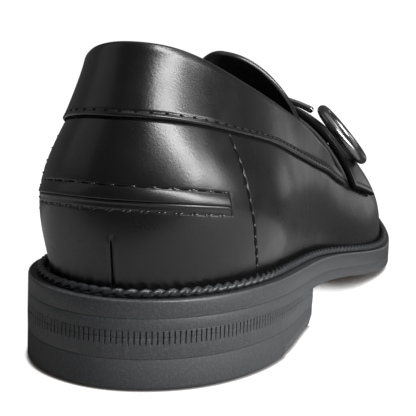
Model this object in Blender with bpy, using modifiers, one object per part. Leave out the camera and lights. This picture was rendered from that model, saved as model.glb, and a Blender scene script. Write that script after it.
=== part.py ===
"""Flat shoe for the right foot: a leather loafer with a ring-and-bar fitting on its saddle strap.

Sizes are millimetres in the shoe's own directions: along from the back of the heel to the toe,
across with the outer side positive, and up from the floor. MM turns them to metres in the meshes.
"""
import math

import bmesh
import bpy
import numpy as np

MM = 0.001

# Driving dimensions
TOE_TIP = 276.0            # along, at the welt's edge
TOE_ACROSS = -5.0          # the toe swings to the inner side
WELT_HEIGHT = 4.85         # side of the midsole strip
OUTSOLE_HEIGHT = 3.1       # side of the outsole
TREAD_DROP = 1.9           # how far the forefoot's tread lies below the outsole's side
TREAD_START = (128.0, 165.0)    # along, where the tread comes down
GAP = 0.3                  # clearance between pieces that meet
LEDGE_HEEL = 5.8           # welt ledge that shows outside the upper
LEDGE_BALL = 3.9
LEDGE_CHANGE = (110.0, 165.0)   # along, where the ledge narrows
RIM_HEIGHT = 1.3           # raised rim on the ledge, against the upper
WALL = 2.0                 # leather and lining of the upper
COLLAR_STEP = 0.9          # the collar band lies on the quarter
STRIP_STEP = 0.8           # the folded heel strip
THROAT = 156.0             # along, at the vamp's rear edge
CORNER_HEIGHT = 37.4       # where collar and throat edge meet
QUARTER_END = 112.0        # along, from here the quarter takes on the vamp's section
BULGE_FULLNESS = 0.6       # lower is fuller
BREAST = 89.0              # along, at the front face of the heel
BREAST_HOLLOW = 3.0        # curve of that face
LIFT_SHARE = 0.52          # the top lift's share of the height under the outsole
LIFT_CUT_START = 49.0      # along, from here to the breast the lift's lower edge is planed off
LIFT_CUT_RAMP = 1.5        # along, over which the planed face starts
LIFT_CUT_IN = 0.35
LIFT_CUT_UP = 2.4
RIBS_SHARE = 0.775         # height at which the ribbed band starts, as a share
RIB_PITCH = 1.65
RIB_DEPTH = 0.4
RIBS_END = 74.0            # along, where the ribs run out
INSOLE_HEIGHT = 3.0
INSOLE_PLAY = 1.5          # between the footbed's edge and the upper's wall
STRAP_FRONT = 181.0
STRAP_THICKNESS = 1.8
STRAP_ARCH = 3.2           # how far its middle stands off the vamp over the ridge
STRAP_FOOT_REAR = 34.2     # height of the strap's ends, rear and front corner
STRAP_FOOT_FRONT = 28.4
TONGUE_THICKNESS = 2.0
TONGUE_END = 125.6         # along, at the top of the flap
TONGUE_DOME = 15.5         # how far its corners are rounded off
TONGUE_SPREAD = (41.0, 42.0)    # degrees each side of its middle, at its end and at its foot
TONGUE_TURN = (15.0, 0.0)       # degrees by which it leans to the inner side, end and foot
TONGUE_FOOT = 164.0        # along, tucked under the vamp
RING_RADIUS = 11.0         # to the middle of the wire
RING_WIRE = 2.1            # wire radius
RING_OUTER = 36.0          # from the ridge to the outer ring's centre, over the strap
RING_INNER = 27.0          # the same on the steeper inner flank
RING_LEAN = 4.0            # degrees by which the rings hang steeper than the strap
RING_SWING = 3.0           # degrees by which their front edges stand off it
BAR_WIRE = 1.3
BAR_PLAY = 1.5             # between the bar's ends and the rings
BAR_RISE = 0.08            # how far its ends lift from the strap towards the rings

# Facet counts
SIDE_STEPS = 36            # along each side of the sole
STATIONS = np.linspace(0, 1, 21) ** 1.3    # quarter stations, closer round the heel's back
LIFT_SIDE_STEPS = 26
VAMP_STEPS = 15
THROAT_STEPS = 10

# Sole outline at the welt's edge: along, outer side, inner side
OUTLINE = np.array([
    (3, 12.0, -12.0),
    (12, 23.2, -23.8),
    (28, 31.9, -32.6),
    (50, 36.2, -36.0),
    (80, 35.8, -32.6),
    (112, 36.9, -29.8),
    (140, 40.6, -32.6),
    (160, 43.2, -38.0),
    (180, 44.8, -44.0),
    (205, 42.6, -48.0),
    (230, 36.0, -45.2),
    (252, 25.5, -36.5),
    (267, 13.5, -25.0),
])

# Height of the welt's top edge: along, up
SEAT = np.array([
    (0, 23.4), (35, 23.3), (58, 22.2), (80, 20.2), (105, 18.3), (130, 15.7),
    (155, 12.5), (178, 10.2), (196, 9.6), (214, 10.1), (240, 12.9), (276, 19.0),
])

# Topline of the collar: along, outer side, inner side, up
TOPLINE = np.array([
    (15.3, 0.0, 0.0, 87.1),
    (18.3, 8.0, -7.9, 86.3),
    (25.8, 14.9, -15.0, 83.4),
    (36.0, 20.2, -19.8, 79.0),
    (50.0, 24.0, -23.4, 74.2),
    (76.0, 27.3, -25.6, 66.8),
    (92.0, 29.6, -26.2, 61.5),
    (110.0, 31.0, -26.8, 55.0),
    (128.0, 32.4, -27.8, 48.4),
    (143.0, 33.2, -29.2, 42.2),
    (156.0, 33.7, -31.0, 37.4),
])

# Quarter, from heel back to throat: share of the way, bulge outwards, and the shares of the height
# at which the collar's edge lies and the bulge ends
QUARTER = np.array([
    (0.0, 7.9, 0.711, 0.95),
    (0.1, 7.4, 0.716, 0.92),
    (0.2, 6.7, 0.727, 0.868),
    (0.3, 6.4, 0.743, 0.87),
    (0.45, 4.2, 0.748, 0.87),
    (0.6, 2.5, 0.757, 0.87),
    (0.8, 1.5, 0.815, 0.87),
    (1.0, 1.2, 0.905, 0.87),
])

# Ridge of the last over instep and toe: along, across, up, roundness of the section
RIDGE = np.array([
    (105, -4.0, 92.0, 2.2),
    (130, -5.0, 78.0, 2.1),
    (156, -5.5, 64.0, 2.0),
    (176, -6.0, 54.6, 2.15),
    (197, -6.4, 47.2, 2.4),
    (217, -6.4, 42.6, 2.5),
    (240, -5.6, 39.4, 2.4),
    (276, -5.0, 38.0, 2.4),
])
# Tongue: along, how far it stands off the last
TONGUE_RISE = np.array([
    (TONGUE_END, 1.2),
    (142.0, -1.2),
    (154.0, -WALL - 2 * GAP),
    (TONGUE_FOOT, -WALL - 2 * GAP),
])
NOSE_START = 228.0         # along, where the toe box starts to close
NOSE_POWER = 2.5

# Rows of the quarter's wall, as shares of the height from feather line to topline
LOWER_ROWS = (0.0, 0.09, 0.18, 0.265)
STRIP_ROWS = (0.353, 0.382, 0.39, 0.443)    # lower seam, under the fold, fold, upper seam
STRIP_REACH = 0.17         # share of the way at which the strip ends


def natural_spline(knots, values, at):
    """Natural cubic spline through values (one row a knot), read at the places in at."""
    knots, values, at = np.asarray(knots, float), np.asarray(values, float), np.asarray(at, float)
    step = np.diff(knots)
    count = len(knots)
    system = np.eye(count)
    right = np.zeros_like(values)
    slope = np.diff(values, axis=0) / step.reshape((-1,) + (1,) * (values.ndim - 1))
    for i in range(1, count - 1):
        system[i, i - 1:i + 2] = step[i - 1], 2 * (step[i - 1] + step[i]), step[i]
        right[i] = 6 * (slope[i] - slope[i - 1])
    bend = np.linalg.solve(system, right)
    i = np.clip(np.searchsorted(knots, at) - 1, 0, count - 2)
    shape = at.shape + (1,) * (values.ndim - 1)
    width = step[i].reshape(shape)
    right_part = (at - knots[i]).reshape(shape)
    left_part = width - right_part
    return ((bend[i] * left_part ** 3 + bend[i + 1] * right_part ** 3) / (6 * width)
            + (values[i] / width - bend[i] * width / 6) * left_part
            + (values[i + 1] / width - bend[i + 1] * width / 6) * right_part)


def points_at(line, shares):
    """Points of a polyline at shares of its length."""
    reach = np.r_[0, np.cumsum(np.linalg.norm(np.diff(line, axis=0), axis=1))]
    places = np.asarray(shares) * reach[-1]
    return np.stack([np.interp(places, reach, line[:, k]) for k in range(line.shape[1])], axis=1)


def even_points(line, count):
    """count points at equal distances along a polyline, ends included."""
    return points_at(line, np.linspace(0, 1, count))


def sole_outline():
    """Dense closed loop (along, across) from the heel's back, by the outer side, to the toe and back."""
    heel, toe = [[0.0, 0.0]], [[TOE_TIP, TOE_ACROSS]]
    points = np.concatenate([heel, OUTLINE[:, [0, 1]], toe, OUTLINE[::-1, [0, 2]]])
    lap = np.concatenate([points] * 3 + [heel])
    chord = np.r_[0, np.cumsum(np.sqrt(np.linalg.norm(np.diff(lap, axis=0), axis=1)))]
    count = len(points)
    start, end = chord[count], chord[2 * count]
    return natural_spline(chord, lap, np.linspace(start, end, 1601))[:-1]


def inset(loop, distance):
    """A closed plan loop moved inwards by a distance (a number, or one for each point)."""
    run = np.roll(loop, -1, axis=0) - np.roll(loop, 1, axis=0)
    run /= np.linalg.norm(run, axis=1)[:, None]
    inward = np.stack([run[:, 1], -run[:, 0]], axis=1)
    if np.sum(inward * (loop.mean(axis=0) - loop)) < 0:
        inward = -inward
    return loop + inward * np.reshape(distance, (-1, 1))


def sides_of(loop):
    """The outer and the inner half of a closed loop, both from heel back to toe tip."""
    tip = int(np.argmax(loop[:, 0]))
    return loop[:tip + 1], np.concatenate([loop[:1], loop[:tip - 1:-1]])


def even_loop(loop, count):
    """A loop of 2 * count points, with point i across from point -i."""
    outer, inner = (even_points(side, count + 1) for side in sides_of(loop))
    return np.concatenate([outer, inner[-2:0:-1]])


def smooth_step(value, low, high):
    share = np.clip((value - low) / (high - low), 0, 1)
    return share * share * (3 - 2 * share)


def seat_height(along):
    return natural_spline(SEAT[:, 0], SEAT[:, 1], along)


WELT_LOOP = sole_outline()
LEDGE = LEDGE_HEEL + (LEDGE_BALL - LEDGE_HEEL) * smooth_step(WELT_LOOP[:, 0], *LEDGE_CHANGE)
FEATHER_OUTER, FEATHER_INNER = sides_of(inset(WELT_LOOP, LEDGE))
FEATHER_TIP = FEATHER_OUTER[-1, 0]
CENTRE_ALONG = (WELT_LOOP[:, 0].min() + WELT_LOOP[:, 0].max()) / 2
CENTRE_ACROSS = (WELT_LOOP[:, 1].min() + WELT_LOOP[:, 1].max()) / 2


def foot_height(along):
    """Height of the upper's lower edge, just clear of the welt."""
    return seat_height(along) + GAP


def section(along):
    """Feather line on both sides, foot height, and the ridge's place, height and roundness."""
    along = np.clip(along, RIDGE[0, 0], FEATHER_TIP)
    outer, inner = (np.interp(along, line[:, 0], line[:, 1]) for line in (FEATHER_OUTER, FEATHER_INNER))
    foot = foot_height(along)
    across, ridge, power = natural_spline(RIDGE[:, 0], RIDGE[:, 1:], along).T
    closing = np.clip((along - NOSE_START) / (FEATHER_TIP - NOSE_START), 0, 1)
    ridge = foot + (ridge - foot) * (1 - closing ** NOSE_POWER) ** (1 / NOSE_POWER)
    across = np.clip(across, inner, outer)
    return outer, inner, foot, across, ridge, power


def last_point(along, angle):
    """Point of the vamp: angle runs from 0 at the outer feather line over 90 to 180 at the inner."""
    along, angle = np.broadcast_arrays(np.asarray(along, float), np.radians(angle))
    outer, inner, foot, across, ridge, power = (
        np.reshape(part, along.shape) for part in section(along.ravel()))
    cosine, sine = np.cos(angle), np.clip(np.sin(angle), 0, 1)
    reach = np.abs(cosine) ** (2 / power) * np.where(cosine > 0, outer - across, inner - across)
    return np.stack([along, across + reach, foot + (ridge - foot) * sine ** (2 / power)], axis=-1)


def angle_at_height(along, up):
    """Angle (degrees, outer half) at which the vamp's section reaches a height."""
    _, _, foot, _, ridge, power = section(np.asarray(along, float))
    share = np.clip((up - foot) / (ridge - foot), 0, 1)
    return np.degrees(np.arcsin(share ** (power / 2)))


def surface_normals(grid):
    """Unit normals of a grid of vamp points, by its own differences, away from the shoe's inside."""
    normals = np.cross(np.gradient(grid, axis=0), np.gradient(grid, axis=1))
    normals /= np.maximum(np.linalg.norm(normals, axis=-1, keepdims=True), 1e-9)
    inside = np.stack([grid[..., 0], np.full(grid.shape[:2], TOE_ACROSS), np.zeros(grid.shape[:2])], axis=-1)
    return normals * np.sign(np.sum(normals * (grid - inside), axis=-1, keepdims=True))


def bulge_shape(height, end):
    """Swell of the heel and quarter over the height: full at the middle, gone at its end."""
    turn = np.clip(height / end, 0, 1)
    return (0.5 - 0.5 * np.cos(2 * np.pi * turn)) ** BULGE_FULLNESS


def quarter_rows(way):
    """Row heights (shares) of the quarter at each share of the way from heel back to throat."""
    collar = natural_spline(QUARTER[:, 0], QUARTER[:, 2], way)
    even = np.ones_like(way)
    above = collar - STRIP_ROWS[-1]
    rows = [height * even for height in LOWER_ROWS + STRIP_ROWS]
    rows += [collar - above * 2 / 3, collar - above / 3, collar - 0.008, collar + 0.004]
    rows += [(1 + collar) / 2, even]
    return np.stack(rows, axis=1)


def quarter_relief(way, rows):
    """Outward steps of the wall: the collar band, and the fold of the heel strip."""
    collar = natural_spline(QUARTER[:, 0], QUARTER[:, 2], way)[:, None]
    fade = 1 - smooth_step(way, 0.9, 1.0)[:, None]
    relief = COLLAR_STEP * fade * (rows > collar)
    low, under, fold, top = STRIP_ROWS
    strip = np.interp(rows, [low, under, fold, top], [0, 0, STRIP_STEP, 0], left=0, right=0)
    return relief + strip * (way[:, None] < STRIP_REACH)


def topline_side(sign):
    """Stations of the topline on one side, read from one smooth rail round the heel."""
    rail = np.concatenate([TOPLINE[::-1, [0, 1, 3]], TOPLINE[1:, [0, 2, 3]]])
    chord = np.r_[0, np.cumsum(np.linalg.norm(np.diff(rail, axis=0), axis=1))]
    back = chord[len(TOPLINE) - 1]
    end = 0.0 if sign > 0 else chord[-1]
    return points_at(natural_spline(chord, rail, np.linspace(back, end, 400)), STATIONS)


def quarter_side(feather, sign):
    """Grid of one quarter: stations from heel back to throat, rows from feather line to topline."""
    end = np.searchsorted(feather[:, 0], THROAT)
    corner = THROAT, np.interp(THROAT, feather[:, 0], feather[:, 1])
    base = points_at(np.concatenate([feather[:end], [corner]]), STATIONS)
    top = topline_side(sign)
    foot = np.column_stack([base, foot_height(base[:, 0])])
    rows = quarter_rows(STATIONS)
    grid = foot[:, None] + (top - foot)[:, None] * rows[..., None]
    run = np.gradient(base, axis=0)
    run[0] = 0, sign
    run /= np.linalg.norm(run, axis=1)[:, None]
    outward = sign * np.column_stack([-run[:, 1], run[:, 0], np.zeros(len(run))])
    bulge, _, bulge_end = natural_spline(QUARTER[:, 0], QUARTER[:, 1:], STATIONS).T
    swell = bulge[:, None] * bulge_shape(rows, bulge_end[:, None])
    grid += outward[:, None] * (swell + quarter_relief(STATIONS, rows))[..., None]
    vamp_angle = angle_at_height(np.repeat(base[:, :1], rows.shape[1], axis=1).ravel(),
                                 grid[..., 2].ravel()).reshape(rows.shape)
    vamp = last_point(base[:, :1], vamp_angle if sign > 0 else 180 - vamp_angle)
    blend = smooth_step(base[:, 0], QUARTER_END, THROAT)[:, None, None]
    return grid * (1 - blend) + vamp * blend


def new_mesh_object(name, points, faces, material, smooth_angle=40.0):
    """Mesh object from points in the shoe's millimetres, shaded smooth up to an angle."""
    place = np.asarray(points, float)
    world = np.column_stack([place[:, 1] - CENTRE_ACROSS, place[:, 0] - CENTRE_ALONG, place[:, 2]]) * MM
    mesh = bpy.data.meshes.new(name)
    mesh.from_pydata(world.tolist(), [], faces)
    body = bmesh.new()
    body.from_mesh(mesh)
    bmesh.ops.recalc_face_normals(body, faces=body.faces)
    body.to_mesh(mesh)
    body.free()
    mesh.shade_smooth()
    mesh.set_sharp_from_angle(angle=math.radians(smooth_angle))
    mesh.materials.append(material)
    obj = bpy.data.objects.new(name, mesh)
    PARTS.objects.link(obj)
    return obj


def stacked(name, loops, material, smooth_angle=40.0):
    """Closed body from loops of equal counts, bottom to top, with laddered caps at both ends."""
    count = len(loops[0])
    points = np.concatenate(loops)
    faces = []
    for level in range(len(loops) - 1):
        low, high = level * count, (level + 1) * count
        for i in range(count):
            j = (i + 1) % count
            faces.append((low + i, low + j, high + j, high + i))
    for base in (0, (len(loops) - 1) * count):
        faces.append((base, base + 1, base + count - 1))
        for i in range(1, count // 2 - 1):
            faces.append((base + i, base + i + 1, base + count - i - 1, base + count - i))
        middle = count // 2
        faces.append((base + middle - 1, base + middle, base + middle + 1))
    return new_mesh_object(name, points, faces, material, smooth_angle)


def shell(name, grid, thickness, material, side):
    """Sheet through a grid of points, thickened to one side with Solidify (-1 in, 1 out)."""
    rows, columns = grid.shape[:2]
    index = np.arange(rows * columns).reshape(rows, columns)
    faces = [(index[i, j], index[i + 1, j], index[i + 1, j + 1], index[i, j + 1])
             for i in range(rows - 1) for j in range(columns - 1)]
    obj = new_mesh_object(name, grid.reshape(-1, 3), faces, material)
    add_wall(obj, thickness, side)
    return obj


def add_wall(obj, thickness, side):
    wall = obj.modifiers.new("wall", "SOLIDIFY")
    wall.thickness = thickness * MM
    wall.offset = side
    wall.use_even_offset = True
    return wall


def surface_material(name, colour, roughness, metallic=0.0):
    material = bpy.data.materials.new(name)
    material.use_nodes = True
    shader = material.node_tree.nodes["Principled BSDF"]
    shader.inputs["Base Color"].default_value = (*colour, 1.0)
    shader.inputs["Roughness"].default_value = roughness
    shader.inputs["Metallic"].default_value = metallic
    return material


def at_height(loop, height):
    return np.column_stack([loop, np.broadcast_to(height, len(loop))])


def make_welt():
    """Midsole strip: a plain side, a narrow ledge and the raised rim that the upper stands in."""
    profile = [  # inset as a share of the ledge, up from the strip's top edge
        (0.08, GAP / 2 - WELT_HEIGHT),
        (0.0, GAP / 2 - WELT_HEIGHT + 0.4),
        (0.0, -0.5),
        (0.1, 0.0),
        (0.42, 0.1),
        (0.52, RIM_HEIGHT * 0.7),
        (0.68, RIM_HEIGHT),
        (0.84, RIM_HEIGHT * 0.7),
        (0.92, 0.0),
    ]
    loops = []
    for share, up in profile:
        loop = even_loop(inset(WELT_LOOP, LEDGE * share), SIDE_STEPS)
        loops.append(at_height(loop, seat_height(loop[:, 0]) + up))
    stacked("welt", loops, surface_material("rubber_welt", (0.035, 0.035, 0.037), 0.55))


def outsole_bottom(along):
    """Height of the outsole's lower edge on its side."""
    return seat_height(along) - WELT_HEIGHT - OUTSOLE_HEIGHT


def make_outsole():
    """Thin full-length sole: bevelled to a tread that lies flat on the floor under the ball."""
    profile = [  # inset, share of the tread's drop, share of the outsole's height
        (6.0, 1.0, 0.0),
        (3.0, 0.85, 0.0),
        (0.0, 0.0, 0.0),
        (0.0, 0.0, 0.9),
        (0.3, 0.0, 1.0),
    ]
    loops = []
    for distance, tread, share in profile:
        loop = even_loop(inset(WELT_LOOP, distance), SIDE_STEPS)
        along = loop[:, 0]
        drop = tread * TREAD_DROP * smooth_step(along, *TREAD_START)
        low = np.maximum(outsole_bottom(along) - drop, 0.0)
        high = seat_height(along) - WELT_HEIGHT - GAP / 2
        loops.append(at_height(loop, low + (high - low) * share))
    stacked("outsole", loops, surface_material("rubber_outsole", (0.03, 0.03, 0.032), 0.6))


def heel_loop(distance, per_side, ribs=False):
    """Plan of the heel: the sole's outline back from a slightly hollow breast."""
    halves = []
    for side in sides_of(inset(WELT_LOOP, distance)):
        keep = side[side[:, 0] < BREAST]
        halves.append(even_points(keep, per_side))
    outer, inner = halves
    if ribs:
        outer, inner = (ribbed(side) for side in halves)
    share = np.linspace(0, 1, 7)[1:-1, None]
    breast = outer[-1] + (inner[-1] - outer[-1]) * share
    breast[:, 0] -= BREAST_HOLLOW * np.sin(np.pi * share[:, 0])
    return np.concatenate([outer, breast, inner[:0:-1]])


def ribbed(side):
    """Every other point of one side of the heel sunk by the ribs' depth, fading to the front."""
    run = np.gradient(side, axis=0)
    run /= np.linalg.norm(run, axis=1)[:, None]
    inward = np.stack([-run[:, 1], run[:, 0]], axis=1)
    if np.sum(inward * (side.mean(axis=0) - side)) < 0:
        inward = -inward
    depth = RIB_DEPTH * (1 - smooth_step(side[:, 0], RIBS_END - 14, RIBS_END))
    depth[::2] = 0
    return side + inward * depth[:, None]


def heel_level(per_side, distance, ribs, share, up):
    """Loop at a share of the way from the floor to the outsole, moved up by a small distance."""
    loop = heel_loop(distance, per_side, ribs)
    return at_height(loop, outsole_bottom(loop[:, 0]) * share + up)


def rib_points():
    """Points of one side of the heel, two to a rib."""
    outer, _ = sides_of(WELT_LOOP)
    keep = outer[outer[:, 0] < BREAST]
    length = np.linalg.norm(np.diff(keep, axis=0), axis=1).sum()
    return 2 * int(round(length / RIB_PITCH)) + 1


def make_heel():
    """Heel block with its ribbed band, and the top lift below it."""
    rows = [  # inset, ribbed, share of the height under the outsole, up from there
        (0.15, False, LIFT_SHARE, GAP / 2),
        (0.0, False, RIBS_SHARE, 0.0),
        (0.0, True, RIBS_SHARE, 0.05),
        (0.0, True, 1.0, -GAP - 0.25),
        (0.0, False, 1.0, -GAP),
    ]
    levels = [heel_level(rib_points(), *row) for row in rows]
    stacked("heel", levels, surface_material("rubber_heel", (0.035, 0.035, 0.037), 0.55))
    cut = smooth_step(WELT_LOOP[:, 0], LIFT_CUT_START, LIFT_CUT_START + LIFT_CUT_RAMP)
    foot = heel_loop(0.55 + LIFT_CUT_IN * cut, LIFT_SIDE_STEPS)
    edge = heel_loop(0.2, LIFT_SIDE_STEPS)
    edge_up = 0.8 + LIFT_CUT_UP * smooth_step(edge[:, 0], LIFT_CUT_START, LIFT_CUT_START + LIFT_CUT_RAMP)
    top = heel_level(LIFT_SIDE_STEPS, 0.15, False, LIFT_SHARE, -GAP / 2)
    levels = [at_height(foot, 0.0), at_height(edge, np.minimum(edge_up, top[:, 2] - GAP)), top]
    stacked("top_lift", levels, surface_material("rubber_top_lift", (0.03, 0.03, 0.03), 0.7))


def make_insole():
    loop = even_loop(inset(WELT_LOOP, LEDGE + WALL + INSOLE_PLAY), SIDE_STEPS - 10)
    base = seat_height(loop[:, 0])
    loops = [at_height(loop, base + GAP), at_height(loop, base + GAP + INSOLE_HEIGHT)]
    stacked("insole", loops, surface_material("insole_leather", (0.02, 0.02, 0.02), 0.6))


def make_upper():
    """One hollow wall: two quarters round the heel, joined at the throat to the vamp's sections."""
    outer = quarter_side(FEATHER_OUTER, 1)
    inner = quarter_side(FEATHER_INNER, -1)
    quarters = np.concatenate([outer[::-1], inner[1:]])
    levels = quarters.shape[1]
    way = np.array([1.0])
    corner_rows = quarter_rows(way)[0]
    foot = foot_height(THROAT)
    flank = angle_at_height(THROAT, foot + corner_rows * (CORNER_HEIGHT - foot))
    over = np.linspace(flank[-1], 180 - flank[-1], THROAT_STEPS + 1)[1:-1]
    angles = np.concatenate([flank, over, 180 - flank[::-1]])
    front = FEATHER_OUTER[FEATHER_OUTER[:, 0] >= THROAT]
    stations = even_points(front, VAMP_STEPS + 1)[1:-1, 0]
    vamp = last_point(stations[:, None], angles[None, :])
    throat = last_point(THROAT, over)
    tip = np.array([[FEATHER_TIP, FEATHER_OUTER[-1, 1], foot_height(FEATHER_TIP)]])
    points = np.concatenate([quarters.reshape(-1, 3), throat, vamp.reshape(-1, 3), tip])
    index = np.arange(quarters.shape[0] * levels).reshape(-1, levels)
    faces = [(index[i, j], index[i, j + 1], index[i + 1, j + 1], index[i + 1, j])
             for i in range(len(index) - 1) for j in range(levels - 1)]
    start = index.size
    over_index = np.arange(start, start + len(over))
    start += len(over)
    rows = [np.concatenate([index[0], over_index, index[-1, ::-1]])]
    rows += list(np.arange(start, start + vamp.shape[0] * vamp.shape[1]).reshape(vamp.shape[:2]))
    for rear, fore in zip(rows[:-1], rows[1:]):
        faces += [(rear[j], fore[j], fore[j + 1], rear[j + 1]) for j in range(len(rear) - 1)]
    last = rows[-1]
    faces += [(last[j], len(points) - 1, last[j + 1]) for j in range(len(last) - 1)]
    leather = surface_material("black_leather_upper", (0.012, 0.012, 0.013), 0.25)
    add_wall(new_mesh_object("upper", points, faces, leather), WALL, -1)


def raised(along, angle, distance):
    """Grid of vamp points moved out along the surface's normals by a distance."""
    grid = last_point(along, angle)
    return grid + surface_normals(grid) * np.asarray(distance)[..., None]


def tongue_grid():
    """Outer face of the tongue: stations from its foot to the round top, points from side to side."""
    side = np.linspace(-1, 1, 13)[None, :]
    share = np.linspace(0, 1, 10)[:, None]
    end = TONGUE_END + TONGUE_DOME * (1 - np.sqrt(1.03 - side ** 2))
    along = TONGUE_FOOT + (end - TONGUE_FOOT) * share
    spread = np.interp(along, [TONGUE_END, TONGUE_FOOT], TONGUE_SPREAD)
    turn = np.interp(along, [TONGUE_END, TONGUE_FOOT], TONGUE_TURN)
    rise = natural_spline(TONGUE_RISE[:, 0], TONGUE_RISE[:, 1], along)
    return raised(along, 90 + turn + spread * side, rise)


def make_tongue():
    """Round-topped flap: tucked under the vamp's rear edge, free and a little raised at its end."""
    leather = surface_material("black_leather_tongue", (0.012, 0.012, 0.013), 0.3)
    shell("tongue", tongue_grid()[::-1], TONGUE_THICKNESS, leather, -1)


def strap_face(distance, stations=7, steps=25):
    """Grid of the strap at a distance from the vamp: stations along, angles from foot to foot."""
    share, round_share = np.linspace(0, 1, stations)[:, None], np.linspace(0, 1, steps)[None, :]
    along = THROAT + 2 * GAP + (STRAP_FRONT - THROAT - 2 * GAP) * share
    foot = STRAP_FOOT_REAR + (STRAP_FOOT_FRONT - STRAP_FOOT_REAR) * share
    low = angle_at_height(along[:, 0], foot[:, 0])[:, None]
    arch = STRAP_ARCH * np.sin(np.pi * share) * np.sin(np.pi * round_share)
    return raised(along + 0 * round_share, low + (180 - 2 * low) * round_share, distance + arch)


def make_strap():
    """Saddle strap over the vamp, from foot to foot."""
    shell("saddle_strap", strap_face(GAP), STRAP_THICKNESS,
          surface_material("black_leather_strap", (0.012, 0.012, 0.013), 0.25), 1)


def strap_line():
    """Points and outward normals of the strap's outer face along its middle, and their distances
    from the ridge, positive on the outer side."""
    face = strap_face(GAP + STRAP_THICKNESS, 7, 281)
    points, normals = face[3], surface_normals(face)[3]
    reach = np.r_[0, np.cumsum(np.linalg.norm(np.diff(points, axis=0), axis=1))]
    return points, normals, reach[140] - reach


def on_strap(distance):
    """A point on the strap's outer face at a distance from the ridge, and the normal there."""
    points, normals, places = strap_line()
    nearest = int(np.argmin(np.abs(places - distance)))
    return points[nearest], normals[nearest]


def ring_lift(seat, normal):
    """Height of a ring's plane over its seat at which the wire just clears the strap all round."""
    offset = strap_face(GAP + STRAP_THICKNESS, 49, 201).reshape(-1, 3) - seat
    height = offset @ normal
    aside = np.linalg.norm(offset - height[:, None] * normal, axis=1) - RING_RADIUS
    near = np.abs(aside) < RING_WIRE + GAP
    return np.max(height[near] + np.sqrt((RING_WIRE + GAP) ** 2 - aside[near] ** 2))


def tube(name, path, radius, material, closed):
    """Round wire along a path of points in the shoe's millimetres."""
    curve = bpy.data.curves.new(name, "CURVE")
    curve.dimensions = "3D"
    curve.bevel_depth = radius * MM
    curve.bevel_resolution = 2
    curve.use_fill_caps = not closed
    spline = curve.splines.new("POLY")
    spline.points.add(len(path) - 1)
    for knot, (along, across, up) in zip(spline.points, path):
        knot.co = ((across - CENTRE_ACROSS) * MM, (along - CENTRE_ALONG) * MM, up * MM, 1.0)
    spline.use_cyclic_u = closed
    spline.use_smooth = True
    curve.materials.append(material)
    PARTS.objects.link(bpy.data.objects.new(name, curve))


def ring_frame(distance):
    """Centre of a ring on the strap, and two directions in its plane: forward, and up to the ridge."""
    seat, normal = on_strap(distance)
    forward = np.array([1.0, 0.0, 0.0])
    forward -= normal * (forward @ normal)
    forward /= np.linalg.norm(forward)
    ridgeward = np.cross(normal, forward)
    ridgeward *= math.copysign(1.0, ridgeward[2])
    lean, swing = math.radians(RING_LEAN), math.radians(RING_SWING)
    normal, ridgeward = (normal * math.cos(lean) - ridgeward * math.sin(lean),
                         ridgeward * math.cos(lean) + normal * math.sin(lean))
    normal, forward = (normal * math.cos(swing) - forward * math.sin(swing),
                       forward * math.cos(swing) + normal * math.sin(swing))
    return seat + normal * ring_lift(seat, normal), forward, ridgeward


def make_fitting():
    """Polished ring on each flank of the strap, and the bar between them over the ridge."""
    steel = surface_material("polished_gunmetal", (0.25, 0.25, 0.26), 0.18, 1.0)
    turn = np.linspace(0, 2 * np.pi, 29)[:-1, None]
    ends = []
    for name, distance in (("ring_outer", RING_OUTER), ("ring_inner", -RING_INNER)):
        centre, forward, ridgeward = ring_frame(distance)
        tube(name, centre + RING_RADIUS * (forward * np.cos(turn) + ridgeward * np.sin(turn)), RING_WIRE,
             steel, closed=True)
        ends.append(centre + ridgeward * (RING_RADIUS + RING_WIRE + BAR_PLAY))
    clear = RING_RADIUS + RING_WIRE
    places = np.linspace(RING_OUTER - clear, clear - RING_INNER, 13)
    path = np.array([seat + normal * (BAR_WIRE + GAP) for seat, normal in map(on_strap, places)])
    share = np.linspace(-1, 1, len(path))[:, None]
    near, far = np.clip(-share, 0, 1) ** 2, np.clip(share, 0, 1) ** 2
    path += BAR_RISE * (near * (ends[0] - path[0]) + far * (ends[1] - path[-1]))
    tube("bit_bar", path, BAR_WIRE, steel, closed=False)


for old in list(bpy.data.objects):
    bpy.data.objects.remove(old)
PARTS = bpy.data.collections.new("flat_shoe")
bpy.context.scene.collection.children.link(PARTS)

make_welt()
make_outsole()
make_heel()
make_insole()
make_upper()
make_tongue()
make_strap()
make_fitting()
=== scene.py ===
# %% [markdown]
# # A black loafer, finished in Blender
# The CAD part gives the shoe its sizes and its separate solids. This lesson rebuilds each solid
# finely enough for a close picture: the corded welt, the ribbed heel, the sewn leather upper and
# the metal ring on the strap. Every size is in millimetres in the shoe's own directions: along from
# the back of the heel to the toe, across with the outer side positive, and up from the floor.

# %% The frame and its size
import math

import bpy
import numpy as np
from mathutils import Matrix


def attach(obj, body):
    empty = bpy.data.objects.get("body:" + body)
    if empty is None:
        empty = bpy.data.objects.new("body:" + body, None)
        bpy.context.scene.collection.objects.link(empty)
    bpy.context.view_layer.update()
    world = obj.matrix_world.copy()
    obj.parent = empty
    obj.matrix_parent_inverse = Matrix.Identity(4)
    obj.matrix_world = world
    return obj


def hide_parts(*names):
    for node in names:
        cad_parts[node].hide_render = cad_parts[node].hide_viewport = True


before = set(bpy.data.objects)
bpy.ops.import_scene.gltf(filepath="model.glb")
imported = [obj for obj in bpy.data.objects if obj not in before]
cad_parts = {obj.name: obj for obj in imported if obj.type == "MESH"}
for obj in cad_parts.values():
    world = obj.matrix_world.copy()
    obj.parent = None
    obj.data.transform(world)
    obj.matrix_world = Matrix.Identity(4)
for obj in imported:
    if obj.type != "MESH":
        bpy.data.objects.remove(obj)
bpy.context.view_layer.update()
MM = 0.001

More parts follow.
